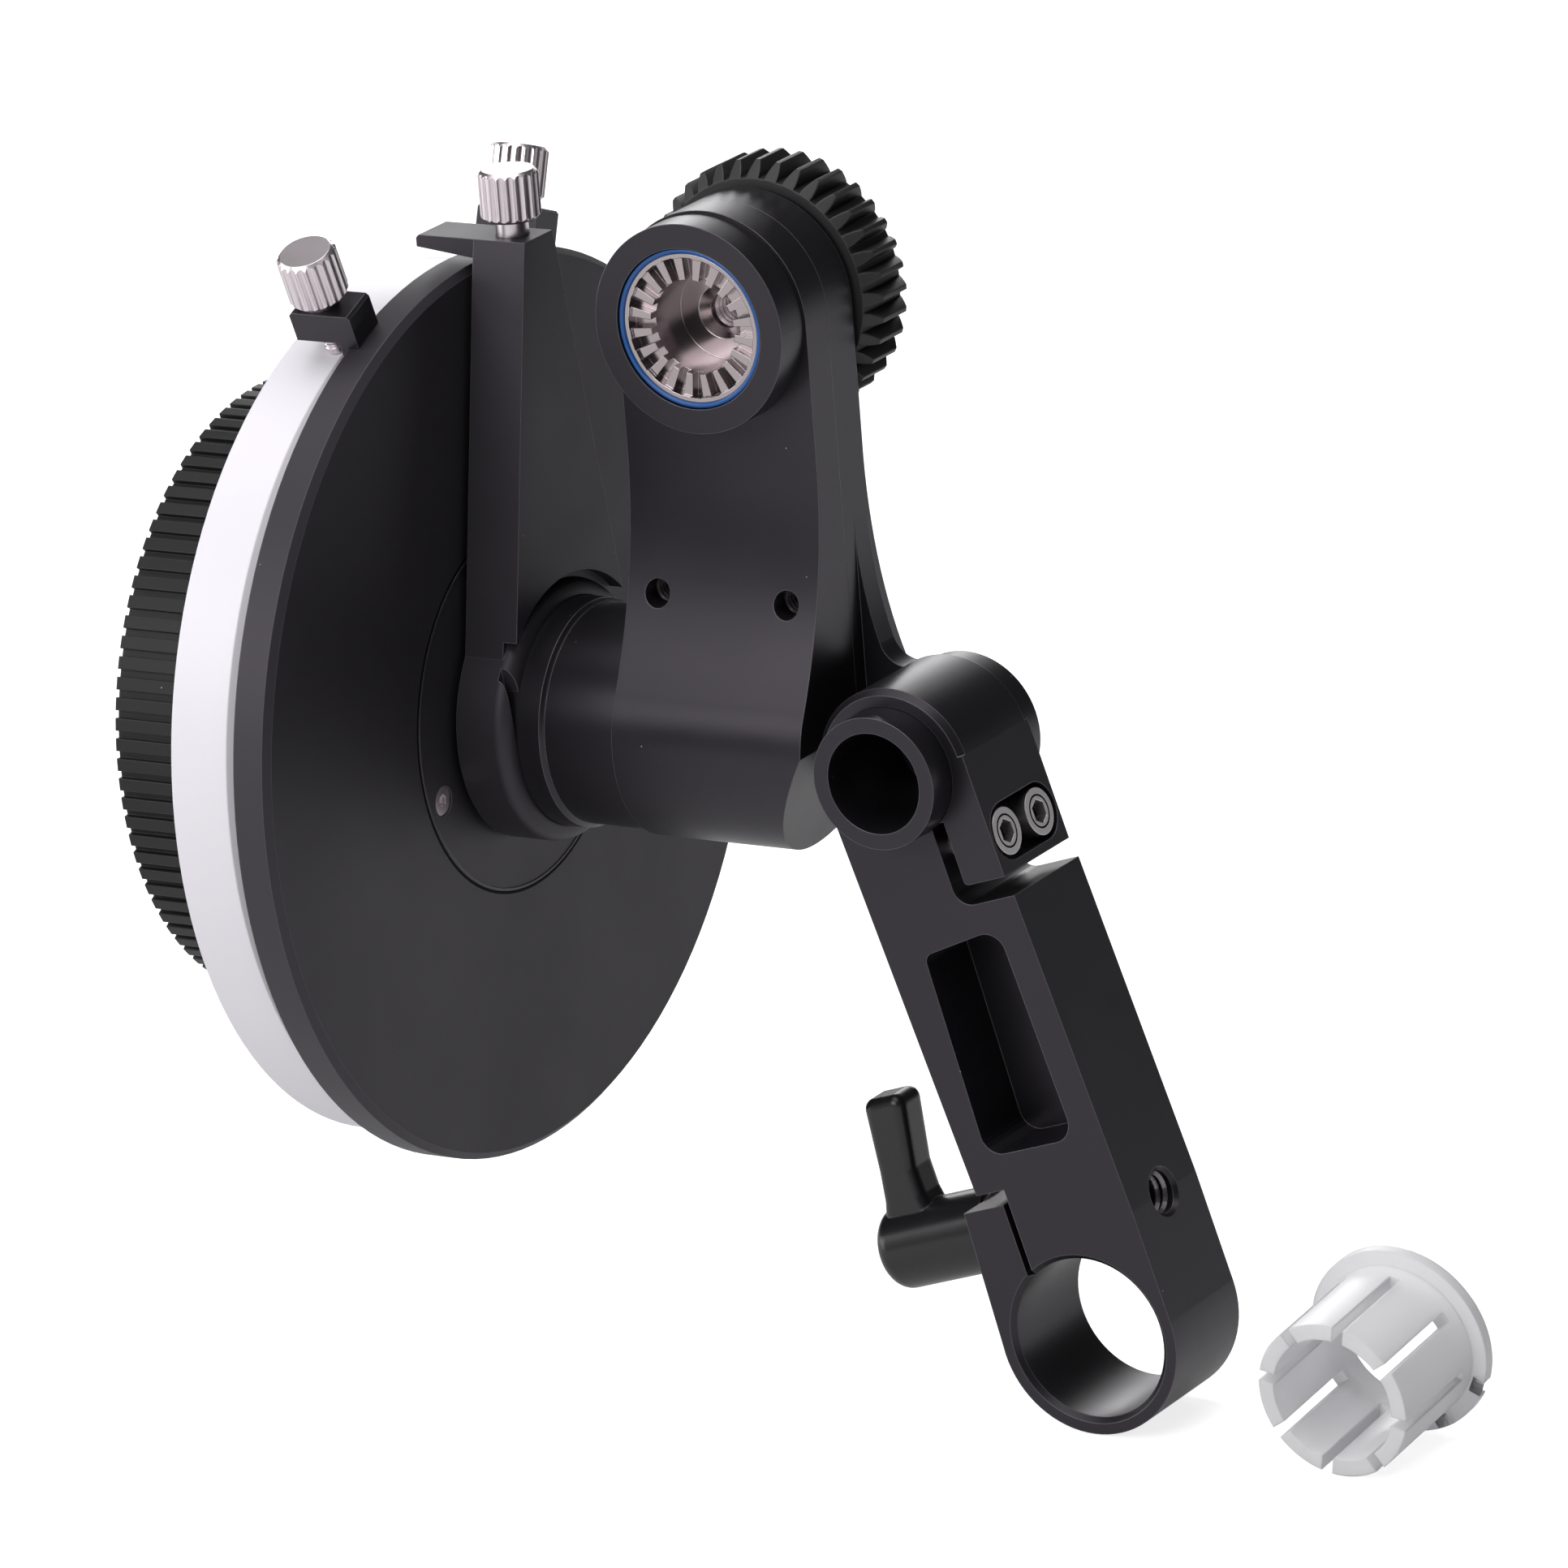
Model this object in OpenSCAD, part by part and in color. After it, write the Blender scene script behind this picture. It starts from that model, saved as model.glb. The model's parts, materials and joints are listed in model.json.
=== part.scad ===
// Follow focus unit for a camera on support rods. A hand wheel with a marking ring and two hard
// stops drives a lens gear through a slim gearbox, which swings on an arm clamped to one rod.
// Millimetres. X runs along the wheel shaft from the hand wheel to the arm, Y runs back along the
// rod, Z is up. The origin is the centre of the rod clamp's bore, half way through its depth.

/* [Rod clamp] */
// Diameter of the support rod
rod_d = 19; // [17:0.5:21]
// Wall around the rod
clamp_wall = 1.9; // [1.6:0.1:2.6]
// Depth of the arm along the rod
arm_depth = 14.8; // [13.5:0.1:16]

/* [Arm] */
// Distance from the rod to the pivot tube
arm_reach = 68.35; // [64:0.5:76]
// Lean of the arm away from upright, degrees
arm_lean = 17.2; // [12:0.5:20]
// Wall of the arm's head around the pivot tube
head_wall = 1.95; // [1.6:0.05:2.2]
// Depth of the pocket milled in the arm's front
pocket_depth = 9; // [4:0.5:11]

/* [Pivot tube] */
// Outer diameter of the pivot tube
tube_d = 15.5; // [14:0.5:16]
// Bore of the pivot tube
tube_bore_d = 11.8; // [9:0.2:12.2]
// How far the pivot tube stands out in front of the arm
tube_front = 4.2; // [2:0.2:8]

/* [Clamp lever] */
// Height of the lever's blade above the clamp screw
lever_rise = 18; // [14:0.5:24]
// Diameter of the lever's hub
lever_hub_d = 9.8; // [9:0.2:10.6]

/* [Gearbox] */
// Width of the gearbox
box_w = 25; // [24.5:0.1:26]
// Height of the output axis above the wheel axis
axis_rise = 50; // [48:0.5:60]
// Depth of the front cover at the top
front_half = 4.8; // [4.7:0.1:5.4]
// Depth of the rear cover at the top
rear_half = 5.4; // [5.3:0.1:6]
// Radius of the barrel around the wheel shaft
barrel_r = 13.3; // [13:0.1:14.5]
// Radius of the hollow that blends the barrel into the flat face
blend_r = 60; // [40:1:80]
// Distance from the pivot tube to the gearbox's middle
box_offset = 24.1; // [24:0.1:27]
// Radius of the rear cover's boss on the pivot tube
boss_r = 9; // [8.4:0.1:9.6]

/* [Lens gear] */
// Module of the lens gear
lens_module = 0.8; // [0.8]
// Teeth of the lens gear
lens_teeth = 36; // [34:1:42]
// Width of the lens gear
lens_gear_w = 8.4; // [6:0.2:12]
// Teeth of the quick coupling's crown
crown_teeth = 20; // [12:1:24]

/* [Wheel shaft housing] */
// Radius of the tube that carries the wheel shaft
housing_r = 12.8; // [12:0.1:12.9]
// Length of that tube
housing_len = 9.3; // [8:0.1:14]
// Radius of the collar that carries the pointer bracket
collar_r = 13.35; // [13.2:0.05:14]
// Length of the collar
collar_len = 10.9; // [10.4:0.1:14]

/* [Hand wheel] */
// Radius of the hand wheel's disc
disc_r = 53; // [50:0.5:56]
// Width of the disc's rim
rim_w = 4.6; // [4.2:0.1:5.5]
// How far the marking ring stays inside the disc's edge
ring_step = 2.2; // [2:0.1:4.4]
// Width of the marking ring
ring_w = 8.5; // [7:0.1:12]
// Radius of the ribbed grip
grip_r = 36.3; // [35.8:0.1:38]
// Width of the ribbed grip
grip_w = 17.4; // [14:0.2:22]
// Ribs around the grip
grip_ribs = 96; // [60:1:110]
// Radius of the hub plate in the disc's back face
hub_plate_r = 21.75; // [21:0.25:24]

/* [Pointer bracket] */
// Width of the bracket along the shaft
bracket_w = 6.9; // [6:0.1:8]
// Height of the pointer's top above the disc's edge
pointer_clear = 3.5; // [3:0.1:4]
// Width of the pointer's tongue
tongue_w = 6; // [5:0.2:6.4]
// How far the tongue reaches over the marking ring
tongue_len = 7.8; // [6:0.2:10]

/* [Hard stops] */
// Angle of the near stop from the top, degrees
stop_a_angle = -21.7; // [-40:0.1:-12]
// Angle of the far stop from the top, degrees
stop_b_angle = 20.2; // [12:0.1:40]
// Width of a stop around the rim
stop_w = 4.8; // [4:0.2:7]
// Length of a stop across the rim
stop_len = 8.1; // [7.8:0.1:9]
// Head diameter of the thumb screws
thumb_d = 7; // [5:0.2:8]
// Flutes around a thumb screw
thumb_flutes = 20; // [12:1:24]

/* [Reduction bush] */
// Diameter of the thinner rod that the bush takes
bush_bore_d = 15; // [13:0.5:16]
// Length of the bush with its flange
bush_len = 16.7; // [15:0.1:20]

/* [Hidden] */
$fn = 96;

// Clearances and overruns
fit = 0.05;
cut = 1;
face_gap = 0.1;
blend_cross = 0.01;
running_gap = 0.4;

// Colours
black_anodised = [0.11, 0.11, 0.12];
black_moulded = [0.07, 0.07, 0.08];
steel = [0.72, 0.68, 0.7];
bronze = [0.6, 0.45, 0.25];
blue_rubber = [0.1, 0.3, 0.65];
white_plastic = [0.9, 0.88, 0.9];
clear_plastic = [0.82, 0.82, 0.84];

// Arm, in its own plane: across is to the right of the line from rod to pivot, along is up it
rod_r = rod_d / 2;
clamp_r = rod_r + clamp_wall;
tube_r = tube_d / 2;
head_bore_r = tube_r + fit;
head_r = head_bore_r + head_wall;
clamp_screw_rise = 3.8;
clamp_screw_along = rod_r + clamp_screw_rise;
jaw_top_rise = 3.9;
jaw_top_along = clamp_screw_along + jaw_top_rise;
ledge_gap = 1.7;
jaw_slit_inner = 4.2;
jaw_slit_w = 0.8;
jaw_top_inset = 0.9;
arm_left_foot = 8.05;
arm_right_shoulder = 10.25;
ear_bottom_drop = 14.45;
ear_bottom_along = arm_reach - ear_bottom_drop;
ear_slit_h = 2.3;
ear_slit_inner = 2.6;
ear_slit_w = 1.8;
ear_side = 9.85;
ear_corner_r = 2.2;
pinch_drop = 10.05;
pinch_along = arm_reach - pinch_drop;
pinch_pitch = 7.4;
pinch_head_r = 2.75;
pinch_head_h = 3;
pinch_shank_r = 1.5;
pinch_recess_h = 6.7;
pinch_recess_depth = 3.15;
pinch_len = 13;
pinch_socket_af = 2.5;
pocket_top_drop = 20.6;
pocket_bottom_rise = 9.7;
pocket_corner_r = 2.4;
pocket_left = 4.6;
pocket_right = 6.9;
pocket_slant = 0.6;
stud_hole_r = 2.5;
stud_clear_r = 3.1;
stud_chamfer = 0.5;
spotface_r = 5.3;
spotface_across = 10.4;
rod_chamfer = 0.6;
head_chamfer = 0.7;

// Pivot and gearbox places
pivot_x = -arm_reach * sin(arm_lean);
pivot_z = arm_reach * cos(arm_lean);
wheel_drop = 0.9;
axis_y = 5.2;
wheel_z = pivot_z - wheel_drop;
out_z = wheel_z + axis_rise;
box_x = pivot_x - box_offset;
box_left = box_x - box_w / 2;
box_right = box_x + box_w / 2;
front_y = axis_y - front_half;
rear_y = axis_y + rear_half;

// Gearbox covers
cover_wall = 1.2;
barrel_wall = 1.9;
barrel_cavity_r = barrel_r - barrel_wall;
facet_rise = 1.5;
facet_lean = 25.5;
facet_wall = 2;
channel_half_w = 3.7;
plate_gap = 0.1;
plate_front_y = arm_depth / 2 + plate_gap;
flare_r = 50;
flare_drop = 24.4;
flare_z = out_z - flare_drop;
fillet_r = 3.5;
lay_chamber_r = 9.9;
accessory_hole_r = 1.65;
accessory_pitch = 17;
accessory_drop = 32.4;
accessory_z = out_z - accessory_drop;
accessory_end_y = axis_y - 1.5 * cover_wall;
cover_screw_pitch = 16.8;
cover_screw_drops = [16, 27.5];
cover_screw_r = 1.2;
cover_screw_head_r = 2.25;
cover_screw_head_h = 1.6;
cover_screw_tip_y = front_y + 1.5 * cover_wall;
cover_screw_af = 2;

// Pivot tube fastening
tube_floor_gap = 3;
tube_spigot_r = 5.5;
pivot_screw_r = 2;
pivot_screw_head_r = 3.6;
pivot_screw_head_h = 2.2;
pivot_screw_af = 2.5;
pivot_washer_r = 7;
pivot_washer_t = 1;

// Gear train: wheel bevel and lower lay bevel meet on the wheel axis, upper lay bevel and output
// bevel meet on the output axis; the lay shaft stands between them in the plane of both axes
pressure = 20;
backlash = 0.06;
wheel_bevel_teeth = 32;
lay_lower_teeth = 16;
lower_module = 0.5;
lay_upper_teeth = 14;
output_teeth = 45;
upper_module = 0.4;
wheel_bevel_r = wheel_bevel_teeth * lower_module / 2;
lay_lower_r = lay_lower_teeth * lower_module / 2;
lay_upper_r = lay_upper_teeth * upper_module / 2;
output_r = output_teeth * upper_module / 2;
addendum_share = 0.85;
dedendum_share = 1.1;
toe_share = 0.75;
rim_share = 1.02;
lay_r = 2;
lay_bush_r = 3.2;
lay_bush_len = 4;
lower_web_z = wheel_z + barrel_cavity_r + cover_wall;
upper_web_top_z = out_z - output_r - 2 * cover_wall;
bevel_web = 2.4;
output_web = 0.6;

// Output shaft
journal_r = 6.5;
cup_r = 8.65;
cup_front_y = -4;
crown_outer_r = 8.1;
crown_inner_r = 5.5;
crown_recess = 0.4;
crown_depth = 1.2;
recess_floor_y = 3;
tap_r = 2.1;
tap_chamfer = 1;
tap_len = 6.5;
cap_r = 12.2;
cap_front_y = -4.5;
seal_section_r = 0.33;
seal_y = -3.95;
lip_r = 9.35;
lip_w = 1.5;
front_bush_r = 9.9;
rear_bush_r = 7.7;
rear_flange_r = 8.9;
rear_flange_t = 0.6;
lens_gear_gap = 0.9;
lens_gear_y = rear_y + lens_gear_gap;
spigot_r = 3.6;
spigot_flat = 2.8;
spigot_len = 3;
lens_web = 1;
gear_head_r = 3.2;
gear_head_h = 2.4;
gear_head_af = 2.5;
gear_tap_r = 1.6;
gear_tap_len = 4;
gear_recess_r = 10.5;
gear_recess_depth = 2;
gear_screw_len = 4.4;
lens_addendum = lens_module;
lens_dedendum = 1.25 * lens_module;
lens_pitch_r = lens_module * lens_teeth / 2;
lens_tip_r = lens_pitch_r + lens_addendum;
lens_root_r = lens_pitch_r - lens_dedendum;
lens_end_slope_share = 0.9;

// Wheel shaft and its housing
shaft_r = 3;
shaft_bush_r = 5.5;
shaft_bush_len = 5;
housing_spigot_r = 6.6;
housing_spigot_len = 1.4;
housing_screw_pcr = 8.7;
housing_screw_r = 0.95;
housing_screw_head_r = 1.75;
housing_screw_head_h = 1.3;
housing_screw_len = 6;
housing_screw_angles = [35, 145, 215, 325];
housing_screw_af = 1.5;
collar_x = box_left - housing_len;
collar_end_x = collar_x - collar_len;
collar_chamfer = 0.4;

// Hand wheel, measured from the disc's back face towards the operator
back_x = collar_end_x - running_gap;
rim_lip = 1.6;
rim_undercut = 0.8;
rim_chamfer = 0.8;
shoulder_step = 3.7;
shoulder_r = disc_r - shoulder_step;
groove_w = 1.3;
shoulder_u = rim_w + groove_w;
ring_wall = 3;
ring_web = 2;
ring_chamfer = 1.1;
ring_end_u = shoulder_u + ring_w;
ring_r = disc_r - ring_step;
drum_r = 36.8;
core_gap = 0.1;
core_r = 33.5;
core_wall = 3.5;
disc_floor = 8.5;
hub_boss_r = 7.5;
core_rib_r = 20.5;
cap_t = 1.6;
cap_dish = 0.8;
core_end_u = ring_end_u + grip_w - 2;
grip_end_u = ring_end_u + grip_w;
rib_depth = 0.65;
rib_share = 0.62;
hub_plate_t = 4;
hub_screw_pcr = 18.7;
hub_screw_angle = 250;
hub_screw_head_r = 1.7;
hub_screw_head_h = 1.2;
hub_screw_sink = 1.4;
hub_screw_r = 0.95;
hub_screw_len = 6;
hub_screw_af = 1.3;
knob_screw_head_r = 3.5;
knob_screw_head_h = 1.6;
knob_screw_r = 1.6;
knob_screw_len = 8;
knob_screw_af = 2.5;
shaft_end_x = box_x - lay_lower_r + 2 * face_gap;

// Pointer bracket
bracket_gap = 1;
bracket_x = back_x + bracket_gap;
pointer_rise = disc_r + pointer_clear;
bracket_ring_r = collar_r + fit;
bracket_outer_r = 15.3;
flank_r = 13.6;
flank_lean = 10.8;
bracket_corner_r = 1.8;
tongue_root_t = 2.3;
tongue_tip_t = 1.4;
tongue_notch = 0.5;
pointer_screw_r = 1.5;
pointer_neck_h = 1.9;
pointer_head_h = 5.9;
thumb_neck_r = 1.9;
thumb_chamfer = 0.55;
flute_depth_share = 0.13;

// Hard stops, measured from the disc's back face and from the wheel axis
stop_u = 3.3;
stop_left_h = 0.5;
stop_left_r = disc_r + stop_left_h;
stop_top_h = 3.8;
stop_top_r = stop_left_r + stop_top_h;
stop_leg_w = 1.1;
stop_leg_hang = 2.5;
stop_leg_r = disc_r - stop_leg_hang;
stop_foot_w = 0.7;
stop_foot_h = 0.7;
stop_bevel = 0.35;
stop_screw_u = 8.1;
stop_screw_r = 1.2;
stop_neck_h = 0.9;
stop_head_h = 6.3;
leg_gap = 0.1;

// Reduction bush, lying on the ground beside the clamp
bush_r = rod_r - face_gap;
bush_flange_r = bush_r + 1.8;
bush_flange_t = 1.4;
bush_slots = 8;
bush_slot_w = 1.3;
bush_slot_end = 2.1;
bush_slot_phase = 12;
bush_notch_w = 2;
bush_notch_d = 1.5;
bush_x = 32.9;
bush_y = -10.7;
bush_turn = -2;

// Lever, measured along the clamp screw from the arm's middle
lever_r = lever_hub_d / 2;
lever_inner = spotface_across + fit;
lever_washer_t = 0.5;
lever_washer_r = 4.4;
lever_hub_inner = lever_inner + lever_washer_t;
lever_outer = 26.2;
lever_round = 1.9;
lever_stud_r = 2.45;
lever_stud_tip = 7.5;
lever_stud_seat = 22;
blade_edge_r = 1.3;
blade_half_depth = 2.6;

// Shape helpers

// Extrudes an outline drawn in X and Z from y0 to y1
module depth_slab(y0, y1) {
    translate([0, y1, 0]) rotate([90, 0, 0]) linear_extrude(y1 - y0) children();
}

// Extrudes an outline drawn in Y and Z from x0 to x1
module side_slab(x0, x1) {
    translate([x0, 0, 0]) rotate([90, 0, 90]) linear_extrude(x1 - x0) children();
}

// Round bar along Y
module bar_y(r, y0, y1) {
    translate([0, y0, 0]) rotate([-90, 0, 0]) cylinder(r = r, h = y1 - y0);
}

// Round bar along X
module bar_x(r, x0, x1) {
    translate([x0, 0, 0]) rotate([0, 90, 0]) cylinder(r = r, h = x1 - x0);
}

// Ring along X
module ring_x(r_out, r_in, x0, x1) {
    difference() {
        bar_x(r_out, x0, x1);
        bar_x(r_in, x0 - cut, x1 + cut);
    }
}

// Ring along Y
module ring_y(r_out, r_in, y0, y1) {
    difference() {
        bar_y(r_out, y0, y1);
        bar_y(r_in, y0 - cut, y1 + cut);
    }
}

// Box between two corners
module block(low, high) {
    translate(low) cube(high - low);
}

// Points of a polygon whose corners [x, y, radius] are rounded by arcs
corner_steps = 7;
function unit(v) = v / norm(v);
function flat(c) = [c[0], c[1]];
function turn(a) = a > 180 ? a - 360 : (a < -180 ? a + 360 : a);
function corner_arc(a, b, c, r) =
    let(u = unit(a - b), v = unit(c - b), half = acos(u * v) / 2, reach = r / tan(half))
    let(centre = b + unit(u + v) * r / sin(half), from = b + u * reach - centre,
        to = b + v * reach - centre)
    let(start = atan2(from[1], from[0]), sweep = turn(atan2(to[1], to[0]) - start))
    [for (k = [0:corner_steps]) centre + r * [cos(start + sweep * k / corner_steps),
        sin(start + sweep * k / corner_steps)]];
function rounded(corners) = [
    for (i = [0:len(corners) - 1])
    let(n = len(corners), a = flat(corners[(i + n - 1) % n]), b = flat(corners[i]),
        c = flat(corners[(i + 1) % n]))
    each corners[i][2] > 0 ? corner_arc(a, b, c, corners[i][2]) : [b]
];

// Half of an involute tooth's angle at radius r
function involute(a) = tan(a) * 180 / PI - a;
function tooth_half(teeth, pitch_r, r) =
    90 / teeth - backlash / 4 / pitch_r * 180 / PI + involute(pressure)
    - involute(acos(min(1, pitch_r * cos(pressure) / r)));

// Outline of a spur gear
function spur_points(teeth, pitch_r, add, ded) = [
    for (i = [0:teeth - 1], side = [-1, 1], step = [0:4])
    let(share = side < 0 ? step / 4 : 1 - step / 4, r = pitch_r - ded + share * (add + ded))
    let(a = 360 * i / teeth + side * tooth_half(teeth, pitch_r, r))
    r * [cos(a), sin(a)]
];

// Section of a bevel gear's teeth across its axis, at distance d from the point where both axes meet.
// own_r and other_r are the pitch radii of this gear and of its mate at the wide end.
function bevel_points(teeth, own_r, other_r, module_size, d) =
    let(cone = atan(own_r / other_r), slant = norm([own_r, other_r]), back_r = own_r / cos(cone))
    let(add = addendum_share * module_size, ded = dedendum_share * module_size)
    [
        for (i = [0:teeth - 1], side = [-1, 1], step = [0:3])
        let(share = side < 0 ? step / 3 : 1 - step / 3, h = share * (add + ded) - ded)
        let(half = tooth_half(teeth / cos(cone), back_r,
            back_r + h) * (back_r + h) / (own_r + h * cos(cone)))
        let(a = 360 * i / teeth + side * half)
        d * tan(cone + atan(h / slant)) * [cos(a), sin(a)]
    ];

// Bevel gear with its teeth towards +Z; the two axes meet apex above z = 0, web closes the wide end
module bevel_gear(teeth, own_r, other_r, module_size, wide, bore_r, web, hub_r, hub_end) {
    narrow = toe_share * other_r;
    difference() {
        union() {
            intersection() {
                linear_extrude(wide - narrow, scale = narrow / wide)
                    polygon(bevel_points(teeth, own_r, other_r, module_size, wide));
                translate([0, 0, -cut]) cylinder(r = max(rim_share * own_r,
                    own_r + module_size * cos(atan(own_r / other_r))), h = wide + cut);
            }
            translate([0, 0, -web]) cylinder(r = rim_share * own_r, h = web);
            translate([0, 0, -hub_end]) cylinder(r = hub_r, h = hub_end);
        }
        translate([0, 0, -hub_end - web - cut]) cylinder(r = bore_r, h = hub_end + web + wide + 2 * cut);
    }
}

// Cap screw: the head's underside is at z = 0 and the shank points down
module cap_screw(head_r, head_h, shank_r, length, socket_af) {
    difference() {
        union() {
            cylinder(r = head_r, h = head_h);
            translate([0, 0, -length]) cylinder(r = shank_r, h = length);
        }
        translate([0, 0, head_h / 2]) cylinder(d = socket_af / cos(30), h = head_h, $fn = 6);
    }
}

// Fluted thumb screw: z = 0 is the seat of its neck, the shank points down
module thumb_screw(shank_r, length, neck_h, head_h) {
    head_r = thumb_d / 2;
    flute_r = head_r * sin(180 / thumb_flutes);
    translate([0, 0, -length]) cylinder(r = shank_r, h = length);
    cylinder(r = thumb_neck_r, h = neck_h);
    translate([0, 0, neck_h]) intersection() {
        linear_extrude(head_h) difference() {
            circle(head_r);
            for (i = [0:thumb_flutes - 1]) {
                rotate(360 * i / thumb_flutes) translate([head_r + flute_r * (1 - 4 * flute_depth_share),
                    0]) circle(flute_r, $fn = 16);
            }
        }
        union() {
            cylinder(r1 = head_r - thumb_chamfer, r2 = head_r, h = thumb_chamfer);
            translate([0, 0, thumb_chamfer]) cylinder(r = head_r, h = head_h - 2 * thumb_chamfer);
            translate([0, 0, head_h - thumb_chamfer]) cylinder(r1 = head_r, r2 = head_r - thumb_chamfer,
                h = thumb_chamfer);
        }
    }
}

// Places
module on_arm() rotate([0, -arm_lean, 0]) children();
module on_clamp_screw() on_arm() translate([0, 0, clamp_screw_along]) children();
module on_pivot() translate([pivot_x, 0, pivot_z]) children();
module on_output() translate([box_x, 0, out_z]) children();
module on_wheel() translate([0, axis_y, wheel_z]) children();
// Hand wheel frame: z runs from the disc's back face towards the operator, x is up
module on_disc() translate([back_x, axis_y, wheel_z]) rotate([0, -90, 0]) children();

// Arm and rod clamp

module arm_outline() {
    translate([0, arm_reach]) circle(head_r);
    circle(clamp_r);
    polygon([
        [-head_r, arm_reach], [-arm_left_foot, jaw_top_along + ledge_gap], [-arm_left_foot, jaw_top_along],
        [-clamp_r + jaw_top_inset, jaw_top_along], [-clamp_r, 0], [clamp_r, 0], [clamp_r,
            clamp_screw_along],
        [arm_right_shoulder, ear_bottom_along - ear_slit_h], [ear_side, ear_bottom_along], [head_r,
            arm_reach]
    ]);
}

module ear_slit_outline() {
    polygon(rounded([
        [ear_slit_inner, arm_reach - head_bore_r + cut, 0], [ear_slit_inner, ear_bottom_along - ear_slit_h,
            ear_corner_r],
        [ear_side + 2 * cut, ear_bottom_along - ear_slit_h, 0], [ear_side + 2 * cut, ear_bottom_along, 0],
        [ear_slit_inner + ear_slit_w, ear_bottom_along, ear_corner_r / 4],
        [ear_slit_inner + ear_slit_w, arm_reach - head_bore_r + cut, 0]
    ]));
}

module pocket_outline() {
    top = arm_reach - pocket_top_drop;
    bottom = clamp_screw_along + pocket_bottom_rise;
    polygon(rounded([
        [-pocket_left - pocket_slant / 2, bottom, pocket_corner_r], [pocket_right + pocket_slant / 2,
            bottom, pocket_corner_r],
        [pocket_right - pocket_slant / 2, top + pocket_slant, pocket_corner_r],
        [-pocket_left + pocket_slant, top - pocket_slant, pocket_corner_r / 2]
    ]));
}

module bridge_arm() {
    half = arm_depth / 2;
    color(black_anodised) on_arm() difference() {
        depth_slab(-half, half) arm_outline();
        // Rod bore, pivot bore, and a chamfer at the front of each round end
        bar_y(rod_r, -half - cut, half + cut);
        translate([0, -half, 0]) rotate([-90, 0, 0]) cylinder(r1 = rod_r + rod_chamfer, r2 = rod_r,
            h = rod_chamfer);
        translate([0, 0, arm_reach]) bar_y(head_bore_r, -half - cut, half + cut);
        for (side = [-1, 1]) {
            translate([0, side * half, arm_reach]) rotate([-side * 90, 0, 0]) head_edge_cut(side);
        }
        depth_slab(-half - cut, half + cut) ear_slit_outline();
        // Clamp slit: a ledge above the jaw and a saw cut down to the bore
        block([-clamp_r - cut, -half - cut, jaw_top_along], [-jaw_slit_inner, half + cut,
            jaw_top_along + ledge_gap]);
        block([-jaw_slit_inner - jaw_slit_w, -half - cut, rod_r - cut], [-jaw_slit_inner, half + cut,
            jaw_top_along + ledge_gap]);
        depth_slab(-half - cut, -half + pocket_depth) pocket_outline();
        // Clamp screw: clearance in the jaw, thread in the arm
        translate([0, 0, clamp_screw_along]) {
            bar_x(stud_clear_r, -clamp_r - cut, -jaw_slit_inner - jaw_slit_w / 2);
            bar_x(stud_hole_r, -jaw_slit_inner - jaw_slit_w / 2, clamp_r + cut);
            bar_x(spotface_r, -clamp_r - cut, -spotface_across);
            translate([clamp_r - stud_chamfer, 0, 0]) rotate([0, 90, 0])
                cylinder(r1 = stud_hole_r, r2 = stud_hole_r + stud_chamfer, h = stud_chamfer);
        }
        // Pinch screws: one long recess for both heads, clearance in the ear, thread in the arm
        translate([0, 0, pinch_along]) {
            block([ear_side - pinch_recess_depth, -pinch_pitch / 2, -pinch_recess_h / 2], [ear_side + cut,
                pinch_pitch / 2, pinch_recess_h / 2]);
            for (side = [-1, 1]) {
                translate([0, side * pinch_pitch / 2, 0]) {
                    bar_x(pinch_recess_h / 2, ear_side - pinch_recess_depth, ear_side + cut);
                    bar_x(pinch_shank_r + fit, ear_side - pinch_recess_depth - pinch_len - cut, ear_side);
                }
            }
        }
    }
}

// Ring that cuts the edge of the arm's head to a chamfer, at the upper half of the head only
module head_edge_cut(side) {
    intersection() {
        rotate_extrude() polygon([
            [head_r - head_chamfer, cut], [head_r - head_chamfer, 0], [head_r, -head_chamfer],
            [head_r + cut, -head_chamfer], [head_r + cut, cut]
        ]);
        mirror([0, side > 0 ? 1 : 0, 0]) block([-2 * head_r, 0, -cut], [2 * head_r, 2 * head_r, cut]);
    }
}

module arm_pinch_screws() {
    color(steel) on_arm() for (side = [-1, 1]) {
        translate([ear_side - pinch_recess_depth, side * pinch_pitch / 2, pinch_along]) rotate([0, 90, 0])
            cap_screw(pinch_head_r, pinch_head_h, pinch_shank_r, pinch_len, pinch_socket_af);
    }
}

// Split bush that lets the clamp take a thinner rod; it lies beside the clamp on its flange
module reduction_bush() {
    tilt = atan((bush_flange_r - bush_r) / (bush_len - bush_flange_t));
    color(clear_plastic)
    translate([bush_x, bush_y, -clamp_r + bush_r * cos(tilt)]) rotate([tilt, 0, bush_turn]) rotate([-90, 0,
        0]) difference() {
        union() {
            cylinder(r = bush_r, h = bush_len);
            translate([0, 0, bush_len - bush_flange_t]) cylinder(r = bush_flange_r, h = bush_flange_t);
        }
        translate([0, 0, -cut]) cylinder(d = bush_bore_d, h = bush_len + 2 * cut);
        for (i = [0:bush_slots - 1]) {
            rotate(bush_slot_phase + 360 * i / bush_slots)
                block([0, -bush_slot_w / 2, -cut], [bush_flange_r, bush_slot_w / 2,
                    bush_len - bush_flange_t - bush_slot_end]);
        }
        for (a = [25, 65]) {
            rotate(a) block([bush_flange_r - bush_notch_d, -bush_notch_w / 2, bush_len - bush_flange_t],
                [bush_flange_r + cut, bush_notch_w / 2, bush_len + cut]);
        }
    }
}

// Clamp lever

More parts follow.
